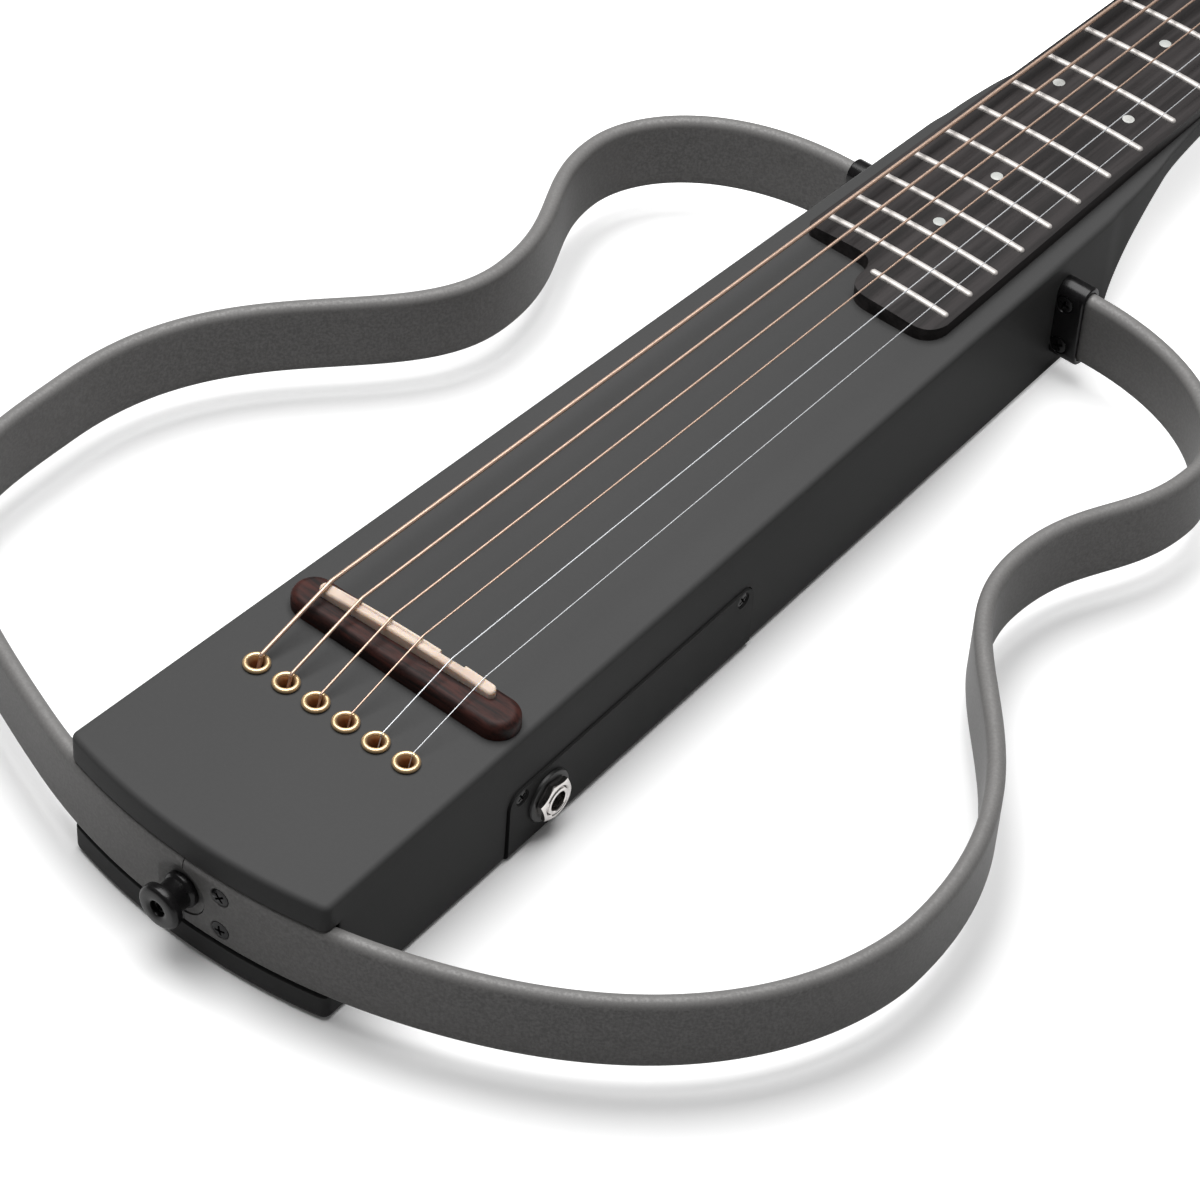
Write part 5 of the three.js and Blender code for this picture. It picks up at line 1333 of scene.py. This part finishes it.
def machine(string, name):
    """One tuning machine: post, housing and knob, in the blade's frame round the post."""
    side, along, x = tuner_spot(string)
    place = HEAD @ Matrix.Translation((x, along, 0))
    post = turned_piece("winding_post_" + name, [
        (0, HOUSING_TOP - 7), (POST_R, HOUSING_TOP - 7), (POST_R, 2.0), (POST_WAIST, 2.6),
        (POST_WAIST, 9.0), (POST_R, 9.6), (POST_R, 12.8), (2.9, 13.2), (2.4, 13.5), (0, 13.5)],
        black_plate, place)
    shown(post, "tuner_post_" + name, "post_" + name)
    half_x, half_y = HOUSING_HALF
    lean, middle = side * (half_x - HOUSING_REACH), SHAFT_Y / 2
    case = slab(rounded_box(lean - half_x, lean + half_x, middle - half_y, middle + half_y, 2.0),
                HOUSING_TOP - HOUSING_TALL, HOUSING_TOP, 0.4, HOUSING_EDGE)
    housing = grid_piece("gear_case_" + name, moved(case, place), black_plate)
    bushing = turned_piece("bushing_tool", [
        (0, HOUSING_TOP - 3), (4.8, HOUSING_TOP - 3), (4.8, GAP), (6.2, GAP), (6.4, 0.5),
        (6.4, 1.1), (6.0, 1.6), (5.0, 1.85), (0, 1.9)], black_plate, place)
    carve(housing, [bushing], "UNION")
    shaft_foot = place @ Matrix.Translation((0, SHAFT_Y, SHAFT_Z))
    out = shaft_foot @ spin(90 * side, "Y")
    carve(housing, [rod_tool(POST_R + GAP, HOUSING_TOP - 7.3, 9, place, 32),
                    rod_tool(SHAFT_R + GAP, -3.3, 30, out, 32)])
    shown(housing, "tuner_housing_" + name)
    shaft = turned_piece("shaft_tool", [
        (0, -3), (SHAFT_R, -3), (SHAFT_R, GRIP_START - 2), (2.9, GRIP_START - 2),
        (3.2, GRIP_START - 1.7), (3.2, GRIP_START + 2), (0, GRIP_START + 2)], black_plate, out)
    grip = slab(grip_outline(side), -GRIP_HALF, GRIP_HALF, GRIP_EDGE, GRIP_EDGE, 6)
    grip = grid_piece("grip_" + name, moved(grip, shaft_foot), black_plate)
    carve(grip, [shaft], "UNION")
    shown(grip, "tuner_knob_" + name, "knob_" + name)


for string, name in enumerate(STRINGS):
    machine(string, name)
HIDDEN = {"truss_rod": nickel_plate, "clamp_insert": gold_plate, "saddle_pickup": nickel_plate,
          "battery": black_rubber, "preamp_board": circuit_green}
for name, finish in HIDDEN.items():
    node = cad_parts[name]
    node.data.materials.clear()
    node.data.materials.append(finish)
print("tuning machines: 6; pieces kept from the solid model:", len(HIDDEN))

# %% [markdown]
# A white sweep of floor, one large soft box overhead and a soft grey world. The camera sees
# plain white behind the piece, and the floor keeps only the shadow under it.

# %% Floor and light
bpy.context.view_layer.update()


def white_floor():
    """Floor just under the back. It looks white and keeps the shadow, while the light that
    it throws back on the piece is that of a greyer sheet. A glow that only the camera sees
    clears the shadow far out, by the shoulder and behind the tail (distances in metres)."""
    sheet = Sheet("white_sweep")
    rays = sheet.add("ShaderNodeLightPath")
    seen = rays.outputs["Is Camera Ray"]
    thrown = sheet.blend(rays.outputs["Is Glossy Ray"], tint(0.22), tint(0.75))
    away = sheet.add("ShaderNodeVectorMath", {"operation": "LENGTH"}, _0=sheet.place)
    edge = sheet.step(Value(sheet, away.outputs["Value"]), 0.34, 0.85) * 0.9
    y = sheet.axis("Y")
    glow = edge + sheet.step(y, 0.18, 0.36) * 0.7 + sheet.step(y * -1.0, 0.09, 0.14) * 0.4 + 0.02
    sheet.wear(Base_Color=sheet.blend(seen, thrown, tint(0.92)), Roughness=0.9,
               Specular_IOR_Level=0.0, Emission_Strength=1.0,
               Emission_Color=sheet.blend(glow * Value(sheet, seen), tint(0.0), tint(1.0)))
    reach, level = 3000, -0.6
    points = [(-reach, -reach, level), (reach, -reach, level), (reach, reach, level),
              (-reach, reach, level)]
    return link_mesh("floor", points, [[0, 1, 2, 3]], sheet.material)


def soft_box(name, place, aim, size, power):
    """An area light that looks from its place to a point, both in metres."""
    lamp = bpy.data.lights.new(name, "AREA")
    lamp.shape = "RECTANGLE"
    lamp.size, lamp.size_y = size
    lamp.energy = power
    holder = bpy.data.objects.new(name, lamp)
    bpy.context.collection.objects.link(holder)
    away = Vector(place) - Vector(aim)
    holder.matrix_world = at(*place) @ away.to_track_quat("Z", "Y").to_matrix().to_4x4()


def surround(level, backdrop):
    """A soft grey world for light, seen as white by the camera."""
    world = bpy.data.worlds.new("surround")
    world.use_nodes = True
    tree = world.node_tree
    rays = tree.nodes.new("ShaderNodeLightPath")
    mix = tree.nodes.new("ShaderNodeMix")
    mix.data_type = "RGBA"
    mix.inputs[6].default_value = (level, level, level, 1.0)
    mix.inputs[7].default_value = (backdrop, backdrop, backdrop, 1.0)
    tree.links.new(rays.outputs["Is Camera Ray"], mix.inputs[0])
    tree.links.new(mix.outputs[2], tree.nodes["Background"].inputs["Color"])
    bpy.context.scene.world = world


floor = white_floor()
soft_box("overhead", place=(-0.27, 0.24, 1.57), aim=(-0.05, 0.12, 0), size=(1.5, 1.5),
         power=47.5)
surround(level=0.15, backdrop=1.0)
